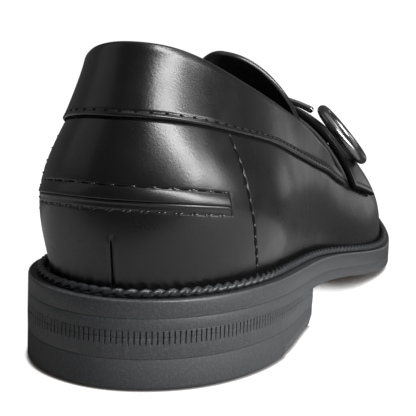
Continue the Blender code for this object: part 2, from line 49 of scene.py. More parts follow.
# %% [markdown]
# ## Camera
# The shoe is seen from behind and a little to its outer side, from near the floor. A short distance
# makes the heel loom and the toe shrink, so the distance matters as much as the lens. The camera is
# placed by its angles round a target point, with a slight roll.

# %% Camera
TARGET = np.array([0.0109, -0.078, 0.0386])
AZIMUTH, ELEVATION, ROLL = np.radians([15.31, 8.86, 2.06])
DISTANCE = 0.39215
SENSOR_WIDTH, FOCAL_LENGTH = 36.0, 117.6


def unit(vectors):
    """Vectors scaled to a length of 1."""
    return vectors / np.linalg.norm(vectors, axis=-1, keepdims=True)


def turned(first, second, angle):
    """Two directions turned in their own plane, the first towards the second."""
    return (first * math.cos(angle) + second * math.sin(angle),
            second * math.cos(angle) - first * math.sin(angle))


def direction(azimuth, elevation):
    """Direction from the shoe, by azimuth to the right from behind the heel and by elevation."""
    return np.array([math.sin(azimuth) * math.cos(elevation), -math.cos(azimuth) * math.cos(elevation),
                     math.sin(elevation)])


def set_up(name, data, right, up, back, place):
    """A camera or lamp at a place, which looks against its direction back."""
    pose = np.eye(4)
    pose[:3] = np.column_stack([right, up, back, place])
    made = bpy.data.objects.new(name, data)
    made.matrix_world = pose.T.tolist()
    bpy.context.scene.collection.objects.link(made)
    print(name, "stands at", np.round(place, 3), "m")
    return made


back = direction(AZIMUTH, ELEVATION)
level = unit(np.cross(-back, [0.0, 0.0, 1.0]))
right, up = turned(level, np.cross(level, -back), ROLL)
lens = bpy.data.cameras.new("camera")
lens.sensor_width = SENSOR_WIDTH
lens.lens = FOCAL_LENGTH
bpy.context.scene.camera = set_up("camera", lens, right, up, back, TARGET + back * DISTANCE)

# %% [markdown]
# ## Colours and nodes
# Colours are written as sRGB hex, as a picker shows them, and Blender's sockets want linear values.
# One function adds a node, or takes one that is there, and fills its sockets: an output is linked,
# and any other value is set.

# %% Colour and node helpers
def linear(code):
    """Linear RGBA of an sRGB hex colour."""
    parts = [int(code[i:i + 2], 16) / 255 for i in (1, 3, 5)]
    return tuple(c / 12.92 if c <= 0.04045 else ((c + 0.055) / 1.055) ** 2.4 for c in parts) + (1.0,)


def node(tree, kind, sockets, **settings):
    """A new node of a kind, or the node given, with its sockets and settings filled in."""
    made = tree.nodes.new(kind) if isinstance(kind, str) else kind
    for name, value in settings.items():
        setattr(made, name, value)
    for name, value in sockets.items():
        if isinstance(value, bpy.types.NodeSocket):
            tree.links.new(value, made.inputs[name])
        else:
            made.inputs[name].default_value = value
    return made


def new_material(name):
    """A material with its node tree, its shader and the object's own coordinates in metres."""
    material = bpy.data.materials.new(name)
    material.use_nodes = True
    tree = material.node_tree
    place = node(tree, "ShaderNodeTexCoord", {}).outputs["Object"]
    return material, tree, tree.nodes["Principled BSDF"], place


def plain_material(name, sockets):
    """A material that is the same all over."""
    material, tree, shader, _ = new_material(name)
    node(tree, shader, sockets)
    return material


def per_size(size):
    """Texture scale that gives a pattern a size in millimetres."""
    return 1 / (size * MM)


print("black calf in linear light:", [round(c, 4) for c in linear("#0c0c0d")])

# %% [markdown]
# ## Floor and light
# Black leather shows its shape only through what it mirrors, so the light is planned as a picture of
# the room. One softbox stands to the right and leans, and its mirror image is the bright streak that
# runs down the collar and the quarter. Three weaker panels stand further to the front: a low one and a
# high one carry the sheen along the side, and a dim one at floor height reaches the strap. A fill on
# the left and a soft ceiling keep the rest from going black. The white backdrop is for the camera
# alone: the shoe mirrors a pale table that only the panels light, so it stays dark away from the
# softbox. The backdrop's glow carries a painted contact shadow: it turns to a brownish shade only
# where the shoe covers it closely, as an Ambient Occlusion node measures.

# %% Floor and world
BACKDROP_GLOW, SKY_GLOW, ROOM_GLOW = 1.0, 1.1, 0.1
WHITE = 1.0, 1.0, 1.0, 1.0
FLOOR_REACH = -4.0, 4.0
TABLE_REACH = -0.2, 0.05   # it ends a little behind the heel and beside the ball of the foot
# Painted contact shadow on the backdrop: reach in mm of each map of what covers the floor, and the shares of
# open sky at its dark and bright ends
PAINTED_SHADOW_MAPS = [(9.0, 0.24, 0.39), (1.7, 0.45, 0.8)]

paper = plain_material("white_paper", {"Base Color": linear("#b8b8b8"), "Roughness": 0.9})
backdrop_painted_shadow, tree, shader, place = new_material("white_backdrop_painted_shadow")
lit = 1.0
for reach, covered, clear in PAINTED_SHADOW_MAPS:
    open_sky = node(tree, "ShaderNodeAmbientOcclusion", {"Distance": reach * MM}, samples=8)
    share = node(tree, "ShaderNodeMapRange", {"Value": open_sky.outputs["AO"], "From Min": covered,
                                              "From Max": clear})
    lit = node(tree, "ShaderNodeMath", {0: lit, 1: share.outputs[0]}, operation="MULTIPLY").outputs[0]
# The painted shadow: the backdrop's glow turns from white to a brownish shade where the floor is covered
glow_with_painted_shadow = node(tree, "ShaderNodeMix", {"Factor": lit, 6: linear("#3d3733"), 7: WHITE}, data_type="RGBA")
node(tree, shader, {"Base Color": linear("#7a7a7a"), "Roughness": 0.9, "Specular IOR Level": 0.0,
                    "Emission Color": glow_with_painted_shadow.outputs[2], "Emission Strength": BACKDROP_GLOW})
for name, material, height, (rear, far), for_camera in (
        ("backdrop", backdrop_painted_shadow, -0.0002, FLOOR_REACH, True), ("table", paper, -0.0004, TABLE_REACH, False)):
    left_side, right_side = FLOOR_REACH
    corners = [(left_side, rear), (right_side, rear), (right_side, far), (left_side, far)]
    ground = bpy.data.meshes.new(name)
    ground.from_pydata([(x, y, height) for x, y in corners], [], [(0, 1, 2, 3)])
    ground.materials.append(material)
    floor = bpy.data.objects.new(name, ground)
    floor.visible_camera = for_camera
    floor.visible_glossy = floor.visible_diffuse = floor.visible_shadow = not for_camera
    bpy.context.scene.collection.objects.link(floor)

world = bpy.data.worlds.new("studio")
bpy.context.scene.world = world
world.use_nodes = True
tree = world.node_tree
ray = node(tree, "ShaderNodeLightPath", {})
sky = node(tree, "ShaderNodeBackground", {"Color": WHITE, "Strength": SKY_GLOW})
room = node(tree, tree.nodes["Background"], {"Color": WHITE, "Strength": ROOM_GLOW})
seen = node(tree, "ShaderNodeMixShader", {0: ray.outputs["Is Camera Ray"], 1: room.outputs[0],
                                          2: sky.outputs[0]})
node(tree, tree.nodes["World Output"], {"Surface": seen.outputs[0]})
bpy.context.scene.view_settings.view_transform = "Standard"
print("floor and world made")

# %% Panels
MIDDLE = np.array([0.0, -0.06, 0.04])
# Azimuth to the right from behind the heel, elevation, lean to the front, distance, width, height, radiance
PANELS = [
    ("softbox", 69.0, 32.0, -36.0, 0.85, 0.25, 0.74, 17.0),
    ("low_box", 96.0, 14.0, -20.0, 0.85, 0.22, 0.26, 7.5),
    ("front_box", 120.0, 50.0, 0.0, 1.2, 0.6, 0.3, 3.0),
    ("front_low", 163.0, 0.0, 0.0, 0.9, 0.24, 0.13, 0.45),
    ("left_fill", -80.0, 26.0, 0.0, 1.5, 1.1, 1.1, 0.2),
    ("ceiling", 120.0, 80.0, 0.0, 1.4, 1.4, 1.4, 0.5),
]

for name, azimuth, elevation, lean, distance, width, height, radiance in PANELS:
    azimuth, elevation, lean = np.radians([azimuth, elevation, lean])
    toward = direction(azimuth, elevation)
    front = np.array([math.cos(azimuth), math.sin(azimuth), 0.0])
    long_side, _ = turned(np.cross(toward, front), front, lean)
    light = bpy.data.lights.new(name, "AREA")
    light.shape = "RECTANGLE"
    light.size = width
    light.size_y = height
    light.energy = radiance * math.pi * width * height
    lamp = set_up(name, light, np.cross(long_side, toward), long_side, toward, MIDDLE + toward * distance)
    lamp.visible_camera = False

# %% [markdown]
# ## Materials
# Box calf is smooth, dense leather under a glazed finish: a dark, nearly colourless skin with a
# sharp clear coat over a softer sheen. Moulded rubber is greyer and scatters the light widely, with
# fine specks from the mould. The welt's lip is glossier. The lip and the top lift's planed face are
# paler rubber, and that paleness is painted light: a highlight along the lip, and the light that the
# planed face catches. Waxed thread glints. Cut edges are dyed black and dull. The same black, dull
# material is painted shade in the needle holes, in the seam's slits and in the creases under the
# collar's edge and at the heel strip's fold and end. The fitting is dark plated metal, so nearly all
# that it shows is mirrored. The leather's real grain is about 0.15 mm, which is under a pixel here,
# so it is drawn at 0.6 mm and shallow.

# %% Leather
GRAIN, GRAIN_STRENGTH = 0.6, 0.42
MOTTLE = 9.0


def leather(name, colour, roughness, coat, depth):
    """Glazed leather: a coat over a skin with fine grain, and a slow drift in its gloss."""
    material, tree, shader, place = new_material(name)
    grain = node(tree, "ShaderNodeTexNoise", {"Vector": place, "Scale": per_size(GRAIN), "Detail": 3.0})
    drift = node(tree, "ShaderNodeTexNoise", {"Vector": place, "Scale": per_size(MOTTLE), "Detail": 4.0})
    gloss = node(tree, "ShaderNodeMapRange", {"Value": drift.outputs[0], "From Min": 0.35, "From Max": 0.65,
                                              "To Min": roughness - 0.04, "To Max": roughness + 0.06})
    relief = node(tree, "ShaderNodeBump", {"Height": grain.outputs[0], "Strength": GRAIN_STRENGTH,
                                           "Distance": depth * MM})
    node(tree, shader, {"Base Color": linear(colour), "Roughness": gloss.outputs[0],
                        "Normal": relief.outputs[0], "Coat Weight": coat, "Coat Roughness": 0.2,
                        "Coat Normal": relief.outputs[0]})
    return material


box_calf = leather("polished_box_calf", "#0c0c0d", 0.31, 0.35, 0.08)
strap_calf = leather("polished_box_calf_strap", "#0d0d0e", 0.32, 0.5, 0.05)
lining = leather("black_lining_leather", "#1a1a1b", 0.6, 0.0, 0.08)
node(lining.node_tree, lining.node_tree.nodes["Principled BSDF"], {"Specular IOR Level": 0.45})
thread = plain_material("waxed_thread", {"Base Color": linear("#303034"), "Roughness": 0.24,
                                         "Coat Weight": 0.5, "Coat Roughness": 0.1})
# Black and dull: dyed cut edges, and painted shade in needle holes, seam slits and creases
edge_dye_and_painted_shade = plain_material("dyed_edge_and_painted_shade", {"Base Color": linear("#050505"), "Roughness": 0.85,
                                            "Specular IOR Level": 0.15})
print("leathers, thread and cut edge made")

# %% Rubber and metal
SPECK, SPECK_DEPTH = 0.5, 0.06
SCUFF = 2.0


def rubber(name, colour, pale, roughness):
    """Moulded rubber: wide dull sheen with specks of a paler grey."""
    material, tree, shader, place = new_material(name)
    specks = node(tree, "ShaderNodeTexNoise", {"Vector": place, "Scale": per_size(SPECK), "Detail": 4.0})
    share = node(tree, "ShaderNodeMapRange", {"Value": specks.outputs[0], "From Min": 0.45, "From Max": 0.75})
    tint = node(tree, "ShaderNodeMix", {"Factor": share.outputs[0], 6: linear(colour), 7: linear(pale)},
                data_type="RGBA")
    relief = node(tree, "ShaderNodeBump", {"Height": specks.outputs[0], "Strength": 0.5,
                                           "Distance": SPECK_DEPTH * MM})
    node(tree, shader, {"Base Color": tint.outputs[2], "Roughness": roughness, "Normal": relief.outputs[0]})
    return material


moulded = rubber("moulded_rubber", "#3b3c3e", "#515255", 0.5)
welt_rubber = rubber("moulded_rubber_welt", "#3a3b3d", "#515255", 0.45)
lift_rubber = rubber("ground_top_lift_rubber", "#393a3c", "#4b4c4f", 0.7)
# Paler than the lift: painted light on the planed face
planed_rubber_painted_light = rubber("planed_top_lift_rubber_painted_light", "#48494c", "#5b5c5f", 0.6)
cord_rubber = rubber("moulded_rubber_cord", "#26272a", "#4a4b4f", 0.34)
# Paler than the welt: painted highlight along the welt's lip
lip_rubber_painted_highlight = rubber("glossy_rubber_lip_painted_highlight", "#4a4a4e", "#6c6c70", 0.3)
gunmetal, tree, shader, place = new_material("polished_gunmetal")
scuffs = node(tree, "ShaderNodeTexNoise", {"Vector": place, "Scale": per_size(SCUFF), "Detail": 3.0})
dull = node(tree, "ShaderNodeMapRange", {"Value": scuffs.outputs[0], "To Min": 0.18, "To Max": 0.3})
node(tree, shader, {"Base Color": linear("#88888a"), "Metallic": 1.0, "Roughness": dull.outputs[0]})
print("rubbers and gunmetal made")

# %% [markdown]
# ## The sole's outline
# Everything below the upper follows one plan line: the welt's edge. It goes through a short list of
# widths and is smoothed by a natural spline, the curve that a thin strip of wood takes when it is
# bent round pegs. Moving the line inwards gives the rim, the foot of the upper and the heel.

# %% Outline of the sole
TOE_TIP = 276.0
TOE_ACROSS = -5.0
OUTLINE_POINTS = 3200
LEDGE_HEEL, LEDGE_BALL, LEDGE_CHANGE = 5.8, 3.9, (110.0, 165.0)

# Welt's edge: along, outer side, inner side
OUTLINE = np.array([
    (3, 12.0, -12.0), (12, 23.2, -23.8), (28, 31.9, -32.6), (50, 36.2, -36.0), (80, 35.8, -32.6),
    (112, 36.9, -29.8), (140, 40.6, -32.6), (160, 43.2, -38.0), (180, 44.8, -44.0),
    (205, 42.6, -48.0), (230, 36.0, -45.2), (252, 25.5, -36.5), (267, 13.5, -25.0),
])
# Height of the welt's top edge: along, up
SEAT = np.array([
    (0, 23.4), (35, 23.3), (58, 22.2), (80, 20.2), (105, 18.3), (130, 15.7),
    (155, 12.5), (178, 10.2), (196, 9.6), (214, 10.1), (240, 12.9), (276, 19.0),
])


def natural_spline(knots, values, at):
    """Natural cubic spline through values (one row a knot), read at the places in at."""
    knots, values, at = np.asarray(knots, float), np.asarray(values, float), np.asarray(at, float)
    step = np.diff(knots)
    count = len(knots)
    system = np.eye(count)
    right_side = np.zeros_like(values)
    slope = np.diff(values, axis=0) / step.reshape((-1,) + (1,) * (values.ndim - 1))
    for i in range(1, count - 1):
        system[i, i - 1:i + 2] = step[i - 1], 2 * (step[i - 1] + step[i]), step[i]
        right_side[i] = 6 * (slope[i] - slope[i - 1])
    bend = np.linalg.solve(system, right_side)
    i = np.clip(np.searchsorted(knots, at) - 1, 0, count - 2)
    shape = at.shape + (1,) * (values.ndim - 1)
    width = step[i].reshape(shape)
    after = (at - knots[i]).reshape(shape)
    before = width - after
    return ((bend[i] * before ** 3 + bend[i + 1] * after ** 3) / (6 * width)
            + (values[i] / width - bend[i] * width / 6) * before
            + (values[i + 1] / width - bend[i + 1] * width / 6) * after)


def reach_along(line):
    """Distance along a polyline at each of its points."""
    return np.r_[0, np.cumsum(np.linalg.norm(np.diff(line, axis=0), axis=1))]


def points_at(line, shares):
    """Points of a polyline at shares of its length."""
    reach = reach_along(line)
    places = np.asarray(shares) * reach[-1]
    return np.stack([np.interp(places, reach, line[:, k]) for k in range(line.shape[1])], axis=1)


def smooth_step(value, low, high):
    share = np.clip((value - low) / (high - low), 0, 1)
    return share * share * (3 - 2 * share)


def sole_outline():
    """Dense closed loop (along, across) from the heel's back, by the outer side, to the toe and back."""
    heel, toe = [[0.0, 0.0]], [[TOE_TIP, TOE_ACROSS]]
    points = np.concatenate([heel, OUTLINE[:, [0, 1]], toe, OUTLINE[::-1, [0, 2]]])
    lap = np.concatenate([points] * 3 + [heel])
    chord = np.r_[0, np.cumsum(np.sqrt(np.linalg.norm(np.diff(lap, axis=0), axis=1)))]
    count = len(points)
    return natural_spline(chord, lap, np.linspace(chord[count], chord[2 * count], OUTLINE_POINTS + 1))[:-1]


def inset(loop, distance):
    """A closed plan loop moved inwards by a distance (a number, or one for each point)."""
    run = unit(np.roll(loop, -1, axis=0) - np.roll(loop, 1, axis=0))
    inward = np.stack([run[:, 1], -run[:, 0]], axis=1)
    if np.sum(inward * (loop.mean(axis=0) - loop)) < 0:
        inward = -inward
    return loop + inward * np.reshape(distance, (-1, 1))


def sides_of(loop):
    """The outer and the inner half of a closed loop, both from heel back to toe tip."""
    tip = int(np.argmax(loop[:, 0]))
    return loop[:tip + 1], np.concatenate([loop[:1], loop[:tip - 1:-1]])


def even_loop(loop, count):
    """A loop of 2 * count points, with point i across from point -i."""
    outer, inner = (points_at(side, np.linspace(0, 1, count + 1)) for side in sides_of(loop))
    return np.concatenate([outer, inner[-2:0:-1]])


def seat_height(along):
    return natural_spline(SEAT[:, 0], SEAT[:, 1], along)


WELT_LOOP = sole_outline()
LEDGE = LEDGE_HEEL + (LEDGE_BALL - LEDGE_HEEL) * smooth_step(WELT_LOOP[:, 0], *LEDGE_CHANGE)
CENTRE = [(WELT_LOOP[:, k].min() + WELT_LOOP[:, k].max()) / 2 for k in (0, 1)]
print("outline", np.round(np.ptp(WELT_LOOP, axis=0), 1), "mm, centre", np.round(CENTRE, 2))

# %% [markdown]
# ## Meshes from points
# Each piece is a list of points and faces. A closed piece such as the welt is a stack of loops, as a
# potter stacks coils: neighbouring loops are joined by quads, and both ends are closed by a ladder
# of quads from side to side. Smooth shading up to an angle keeps the small edges crisp.

# %% Mesh helpers
def add_piece(name, points, faces, materials, finish, nodes, smooth_angle=40.0):
    """A mesh in place of CAD nodes. finish gives each face the number of its material."""
    place = np.asarray(points, float)
    metres = np.column_stack([place[:, 1] - CENTRE[1], place[:, 0] - CENTRE[0], place[:, 2]]) * MM
    mesh = bpy.data.meshes.new(name)
    mesh.from_pydata(metres.tolist(), [], [tuple(map(int, face)) for face in faces])
    for material in materials:
        mesh.materials.append(material)
    mesh.polygons.foreach_set("material_index", np.broadcast_to(finish, len(faces)).astype(np.int32))
    mesh.shade_smooth()
    if smooth_angle < 180:
        mesh.set_sharp_from_angle(angle=math.radians(smooth_angle))
    piece = bpy.data.objects.new(name, mesh)
    bpy.context.scene.collection.objects.link(piece)
    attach(piece, "root")
    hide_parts(*nodes)
    print(name, len(mesh.vertices), "points,", sum(len(f) - 2 for f in faces), "triangles")


def stack_faces(levels, count):
    """Faces of a closed stack of loops, bottom to top, seen from outside."""
    i = np.arange(count)
    j = (i + 1) % count
    low = np.arange(levels - 1)[:, None] * count
    walls = np.stack([low + i, low + i + count, low + j + count, low + j], axis=-1).reshape(-1, 4).tolist()
    caps = []
    for base, flip in ((0, False), ((levels - 1) * count, True)):
        ladder = [(base, base + 1, base + count - 1)]
        ladder += [(base + k, base + k + 1, base + count - k - 1, base + count - k)
                   for k in range(1, count // 2 - 1)]
        middle = base + count // 2
        ladder.append((middle - 1, middle, middle + 1))
        caps += [face[::-1] for face in ladder] if flip else ladder
    return walls + caps


def at_height(loop, height):
    return np.column_stack([loop, np.broadcast_to(height, len(loop))])


def numbers_of(net):
    """Point numbers of a net of points."""
    return np.arange(net.shape[0] * net.shape[1]).reshape(net.shape[:2])


def grid_faces(index):
    """Quads of a net of point numbers."""
    corners = index[:-1, :-1], index[:-1, 1:], index[1:, 1:], index[1:, :-1]
    return np.stack(corners, axis=-1).reshape(-1, 4).tolist()


def tube_faces(index, closed):
    """Faces of a tube from the point numbers of its rings. It is closed to itself or capped."""
    index = np.column_stack([index, index[:, 0]])
    if closed:
        return grid_faces(np.concatenate([index, index[:1]]))
    return grid_faces(index) + [tuple(index[0, :-1]), tuple(index[-1, -2::-1])]


def circle(steps):
    """Even angles once round a circle."""
    return np.linspace(0, 2 * np.pi, steps, endpoint=False)


# %% [markdown]
# ## Welt
# The welt is the strip between upper and sole. On the real shoe it is moulded rubber: fine wheel
# marks cross the outer half of its ledge, and a twisted cord lies on the inner half, against the
# leather. The marks are low ridges in the ledge's own loops. Its lip is glossier, and its paler colour
# is a painted highlight along the welt's edge. The cord's section is two round strands side by side,
# which turn with the distance and so wind round each other.

# %% Welt with its wheel marks and cord
WELT_HEIGHT = 4.85
MARK_PITCH, MARK_DEPTH = 1.05, 0.2
CORD_RADIUS, CORD_LAY = 1.2, 7.0
CORD_SHARE = 0.62          # the cord's middle, as a share of the ledge
CORD_SUNK = 0.25           # how deep it lies in the ledge
STRAND_SHARE = 0.57        # a strand's radius, as a share of the cord's
WELT_POINTS, CORD_POINTS, CORD_ROUND = 1300, 1500, 18
LIP = 4, 6                 # the bands between these loops are the lip
# Inset as a share of the ledge, up from the strip's top edge, share of the wheel marks' depth
WELT_LOOPS = [
    (0.04, -WELT_HEIGHT, 0), (0.01, -WELT_HEIGHT + 0.04, 0), (0.0, -WELT_HEIGHT + 0.14, 0), (0.0, -0.8, 0),
    (0.015, -0.4, 0), (0.05, -0.12, 0.2), (0.1, -0.02, 0.5), (0.14, -0.02, 1), (0.3, -0.06, 1),
    (0.44, -0.16, 1), (0.5, -0.4, 0), (0.62, -0.5, 0), (0.97, -0.5, 0),
]

loops = []
for share, rise, marked in WELT_LOOPS:
    loop = even_loop(inset(WELT_LOOP, LEDGE * share), WELT_POINTS)
    reach = reach_along(np.concatenate([loop, loop[:1]]))
    marks = np.abs(np.cos(np.pi * reach[:-1] / reach[-1] * round(reach[-1] / MARK_PITCH)))
    loops.append(at_height(loop, seat_height(loop[:, 0]) + rise - marked * MARK_DEPTH * marks))
faces = stack_faces(len(loops), 2 * WELT_POINTS)
points = np.concatenate(loops)

middle_line = even_loop(inset(WELT_LOOP, LEDGE * CORD_SHARE), CORD_POINTS)
reach = reach_along(np.concatenate([middle_line, middle_line[:1]]))
turns = round(reach[-1] / CORD_LAY)
wind = (2 * np.pi * turns * reach[:-1] / reach[-1])[:, None]
spin = circle(CORD_ROUND)[None, :]
strand, apart = STRAND_SHARE * CORD_RADIUS, (1 - STRAND_SHARE) * CORD_RADIUS
thick = apart * np.abs(np.cos(spin - wind)) + np.sqrt(strand ** 2 - (apart * np.sin(spin - wind)) ** 2)
sideways = (middle_line - inset(middle_line, 1.0))[:, None]
cord = np.empty((len(middle_line), CORD_ROUND, 3))
cord[..., :2] = middle_line[:, None] + sideways * (thick * np.cos(spin))[..., None]
cord[..., 2] = seat_height(middle_line[:, 0])[:, None] + CORD_RADIUS - CORD_SUNK + thick * np.sin(spin)
cord_faces = tube_faces(len(points) + numbers_of(cord), True)
finish = np.repeat([0, 1], [len(faces), len(cord_faces)])
# The lip gets the paler rubber, a painted highlight
finish[LIP[0] * 2 * WELT_POINTS:LIP[1] * 2 * WELT_POINTS] = 2
points = np.concatenate([points, cord.reshape(-1, 3)])
add_piece("welt_corded", points, faces + cord_faces, [welt_rubber, cord_rubber, lip_rubber_painted_highlight], finish,
          ["welt"], 60)
print(2 * turns, "strands cross the top of the cord")

# %% [markdown]
# ## Outsole, heel and top lift
# The outsole is a thin plain slab. The heel block carries a band of fine upright slots with a
# parting line from the mould half-way up, and stands on a separate top lift. The layers are pressed
# together, so only a hairline shows between them: each edge is rounded by a tenth of a millimetre.
# From the middle of the heel to the breast, the lift's lower edge is planed to a narrow face, and its paler
# colour is painted light that this face catches.

# %% Outsole
OUTSOLE_HEIGHT = 3.1
TREAD_DROP, TREAD_START = 1.9, (128.0, 165.0)
SOLE_POINTS = 320
# Inset, share of the tread's drop, share of the height, up from there
OUTSOLE_LOOPS = [
    (6.0, 1.0, 0.0, 0.0), (3.0, 0.85, 0.0, 0.0), (0.2, 0.0, 0.0, 0.0), (0.03, 0.0, 0.0, 0.03),
    (0.0, 0.0, 0.0, 0.1), (0.0, 0.0, 1.0, -0.14), (0.05, 0.0, 1.0, -0.04), (0.25, 0.0, 1.0, 0.0),
]


def outsole_bottom(along):
    """Height of the outsole's lower edge on its side."""
    return seat_height(along) - WELT_HEIGHT - OUTSOLE_HEIGHT


loops = []
for distance, tread, share, rise in OUTSOLE_LOOPS:
    loop = even_loop(inset(WELT_LOOP, distance), SOLE_POINTS)
    along = loop[:, 0]
    low = np.maximum(outsole_bottom(along) - tread * TREAD_DROP * smooth_step(along, *TREAD_START), 0.0)
    high = seat_height(along) - WELT_HEIGHT
    loops.append(at_height(loop, low + (high - low) * share + rise))
faces = stack_faces(len(loops), 2 * SOLE_POINTS)
add_piece("outsole_slab", np.concatenate(loops), faces, [moulded], 0, ["outsole"])

# %% Heel block
BREAST, BREAST_HOLLOW = 89.0, 3.0
LIFT_SHARE, RIBS_SHARE, PARTING_SHARE = 0.52, 0.775, 0.885
RIB_PITCH, RIB_DEPTH = 1.5, 0.45
RIB_WAVE = 0.66, 0.92      # heights of a cosine wave between which a slot's wall rises
RIBS_FADE = 60.0, 74.0     # along the heel's side
HEEL_POINTS, BREAST_STEPS = 1300, 41
# Inset, rib depth, share of the height under the outsole, up from there
HEEL_LOOPS = [
    (0.35, 0.0, LIFT_SHARE, 0.0), (0.18, 0.0, LIFT_SHARE, 0.05), (0.12, 0.0, LIFT_SHARE, 0.16),
    (0.0, 0.0, RIBS_SHARE, -0.1), (0.0, RIB_DEPTH, RIBS_SHARE, 0.1), (0.0, RIB_DEPTH, PARTING_SHARE, -0.14),
    (0.12, RIB_DEPTH, PARTING_SHARE, -0.04), (0.12, RIB_DEPTH, PARTING_SHARE, 0.04),
    (0.0, RIB_DEPTH, PARTING_SHARE, 0.14), (0.0, RIB_DEPTH, 1.0, -0.16), (0.0, 0.0, 1.0, -0.1),
    (0.04, 0.0, 1.0, -0.03), (0.3, 0.0, 1.0, 0.0),
]


def heel_loop(distance, sunk=0.0):
    """Plan of the heel back from its hollow breast, with rib slots sunk by a depth."""
    halves = []
    for side in sides_of(inset(WELT_LOOP, distance)):
        side = points_at(side[side[:, 0] < BREAST], np.linspace(0, 1, HEEL_POINTS))
        run = unit(np.gradient(side, axis=0))
        inward = np.stack([-run[:, 1], run[:, 0]], axis=1)
        inward *= np.sign(np.sum(inward * (side.mean(axis=0) - side)))
        slot_shape = smooth_step(np.cos(2 * np.pi * reach_along(side) / RIB_PITCH), *RIB_WAVE)
        fade = 1 - smooth_step(side[:, 0], *RIBS_FADE)
        halves.append(side + inward * (sunk * slot_shape * fade)[:, None])
    outer, inner = halves
    share = np.linspace(0, 1, BREAST_STEPS + 1)[1:-1, None]
    breast = outer[-1] + (inner[-1] - outer[-1]) * share
    breast[:, 0] -= BREAST_HOLLOW * np.sin(np.pi * share[:, 0])
    return np.concatenate([outer, breast, inner[:0:-1]])


loops = []
for distance, sunk, share, rise in HEEL_LOOPS:
    loop = heel_loop(distance, sunk)
    loops.append(at_height(loop, outsole_bottom(loop[:, 0]) * share + rise))
faces = stack_faces(len(loops), len(loops[0]))
add_piece("heel_ribbed", np.concatenate(loops), faces, [moulded], 0, ["heel"], 50)

# %% Top lift
LIFT_CUT_START, LIFT_CUT_RAMP = 49.0, 1.5
LIFT_CUT_IN, LIFT_CUT_UP = 0.35, 2.4

cut = smooth_step(WELT_LOOP[:, 0], LIFT_CUT_START, LIFT_CUT_START + LIFT_CUT_RAMP)
foot, edge, top = heel_loop(0.55 + LIFT_CUT_IN * cut), heel_loop(0.2), heel_loop(0.12)
planed = smooth_step(edge[:, 0], LIFT_CUT_START, LIFT_CUT_START + LIFT_CUT_RAMP)
edge_up = 0.8 + LIFT_CUT_UP * planed
top_up = outsole_bottom(top[:, 0]) * LIFT_SHARE
loops = [at_height(heel_loop(0.85 + LIFT_CUT_IN * cut), 0.0), at_height(foot, 0.25), at_height(edge, edge_up),
         at_height(heel_loop(0.14), edge_up + 0.12), at_height(top, top_up - 0.16),
         at_height(heel_loop(0.18), top_up - 0.05), at_height(heel_loop(0.35), top_up)]
faces = stack_faces(len(loops), len(top))
finish = np.zeros(len(faces), int)
# The planed face gets the paler rubber, painted light
finish[len(top):2 * len(top)] = planed > 0.5
add_piece("top_lift_planed", np.concatenate(loops), faces, [lift_rubber, planed_rubber_painted_light], finish, ["top_lift"])

# %% [markdown]
# ## Insole
# Only the footbed's surface can be seen, from above. It is a padded sock of lining leather, so its
# top is a little crowned: each loop is drawn in towards the middle line and raised.

# %% Insole
WALL, GAP = 2.0, 0.3
INSOLE_PLAY = 1.5
INSOLE_POINTS = 120
# Share of the way to the middle line, up from the welt
INSOLE_LOOPS = [(0.02, 0.0), (0.0, 0.3), (0.0, 1.7), (0.015, 2.1), (0.06, 2.35), (0.2, 2.6), (0.45, 2.8),
                (0.75, 2.95), (0.97, 3.0)]

bed = even_loop(inset(WELT_LOOP, LEDGE + WALL + INSOLE_PLAY), INSOLE_POINTS)
middle_line = (bed + np.concatenate([bed[:1], bed[:0:-1]])) / 2
loops = []
for closeness, rise in INSOLE_LOOPS:
    loop = bed + (middle_line - bed) * closeness
    loops.append(at_height(loop, seat_height(bed[:, 0]) + GAP + rise))
faces = stack_faces(len(loops), 2 * INSOLE_POINTS)
add_piece("insole_sock", np.concatenate(loops), faces, [lining], 0, ["insole"])

# %% [markdown]
# ## The last
# A shoe's upper is pulled over a last, the solid form of a foot. The front of the upper follows
# sections across it: each is a superellipse from the feather line, where upper meets welt, up to the
# ridge. The rear is two quarters: flat sheets between the feather line and the topline, swelled
# outwards at the heel, and blended into the sections at the throat.

# %% Sections of the last
THROAT = 156.0
NOSE_START, NOSE_POWER = 228.0, 2.5

# Ridge over instep and toe: along, across, up, roundness of the section
RIDGE = np.array([
    (105, -4.0, 92.0, 2.2), (130, -5.0, 78.0, 2.1), (156, -5.5, 64.0, 2.0), (176, -6.0, 54.6, 2.15),
    (197, -6.4, 47.2, 2.4), (217, -6.4, 42.6, 2.5), (240, -5.6, 39.4, 2.4), (276, -5.0, 38.0, 2.4),
])
FEATHER = dict(zip((1, -1), sides_of(inset(WELT_LOOP, LEDGE))))
FEATHER_TIP = FEATHER[1][-1, 0]


def foot_height(along):
    """Height of the upper's lower edge, just clear of the welt."""
    return seat_height(along) + GAP


def section(along):
    """Feather line on both sides, foot height, and the ridge's place, height and roundness."""
    along = np.clip(along, RIDGE[0, 0], FEATHER_TIP)
    outer, inner = (np.interp(along, FEATHER[sign][:, 0], FEATHER[sign][:, 1]) for sign in (1, -1))
    foot = foot_height(along)
    across, ridge, power = natural_spline(RIDGE[:, 0], RIDGE[:, 1:], along).T
    closing = np.clip((along - NOSE_START) / (FEATHER_TIP - NOSE_START), 0, 1)
    ridge = foot + (ridge - foot) * (1 - closing ** NOSE_POWER) ** (1 / NOSE_POWER)
    return outer, inner, foot, np.clip(across, inner, outer), ridge, power


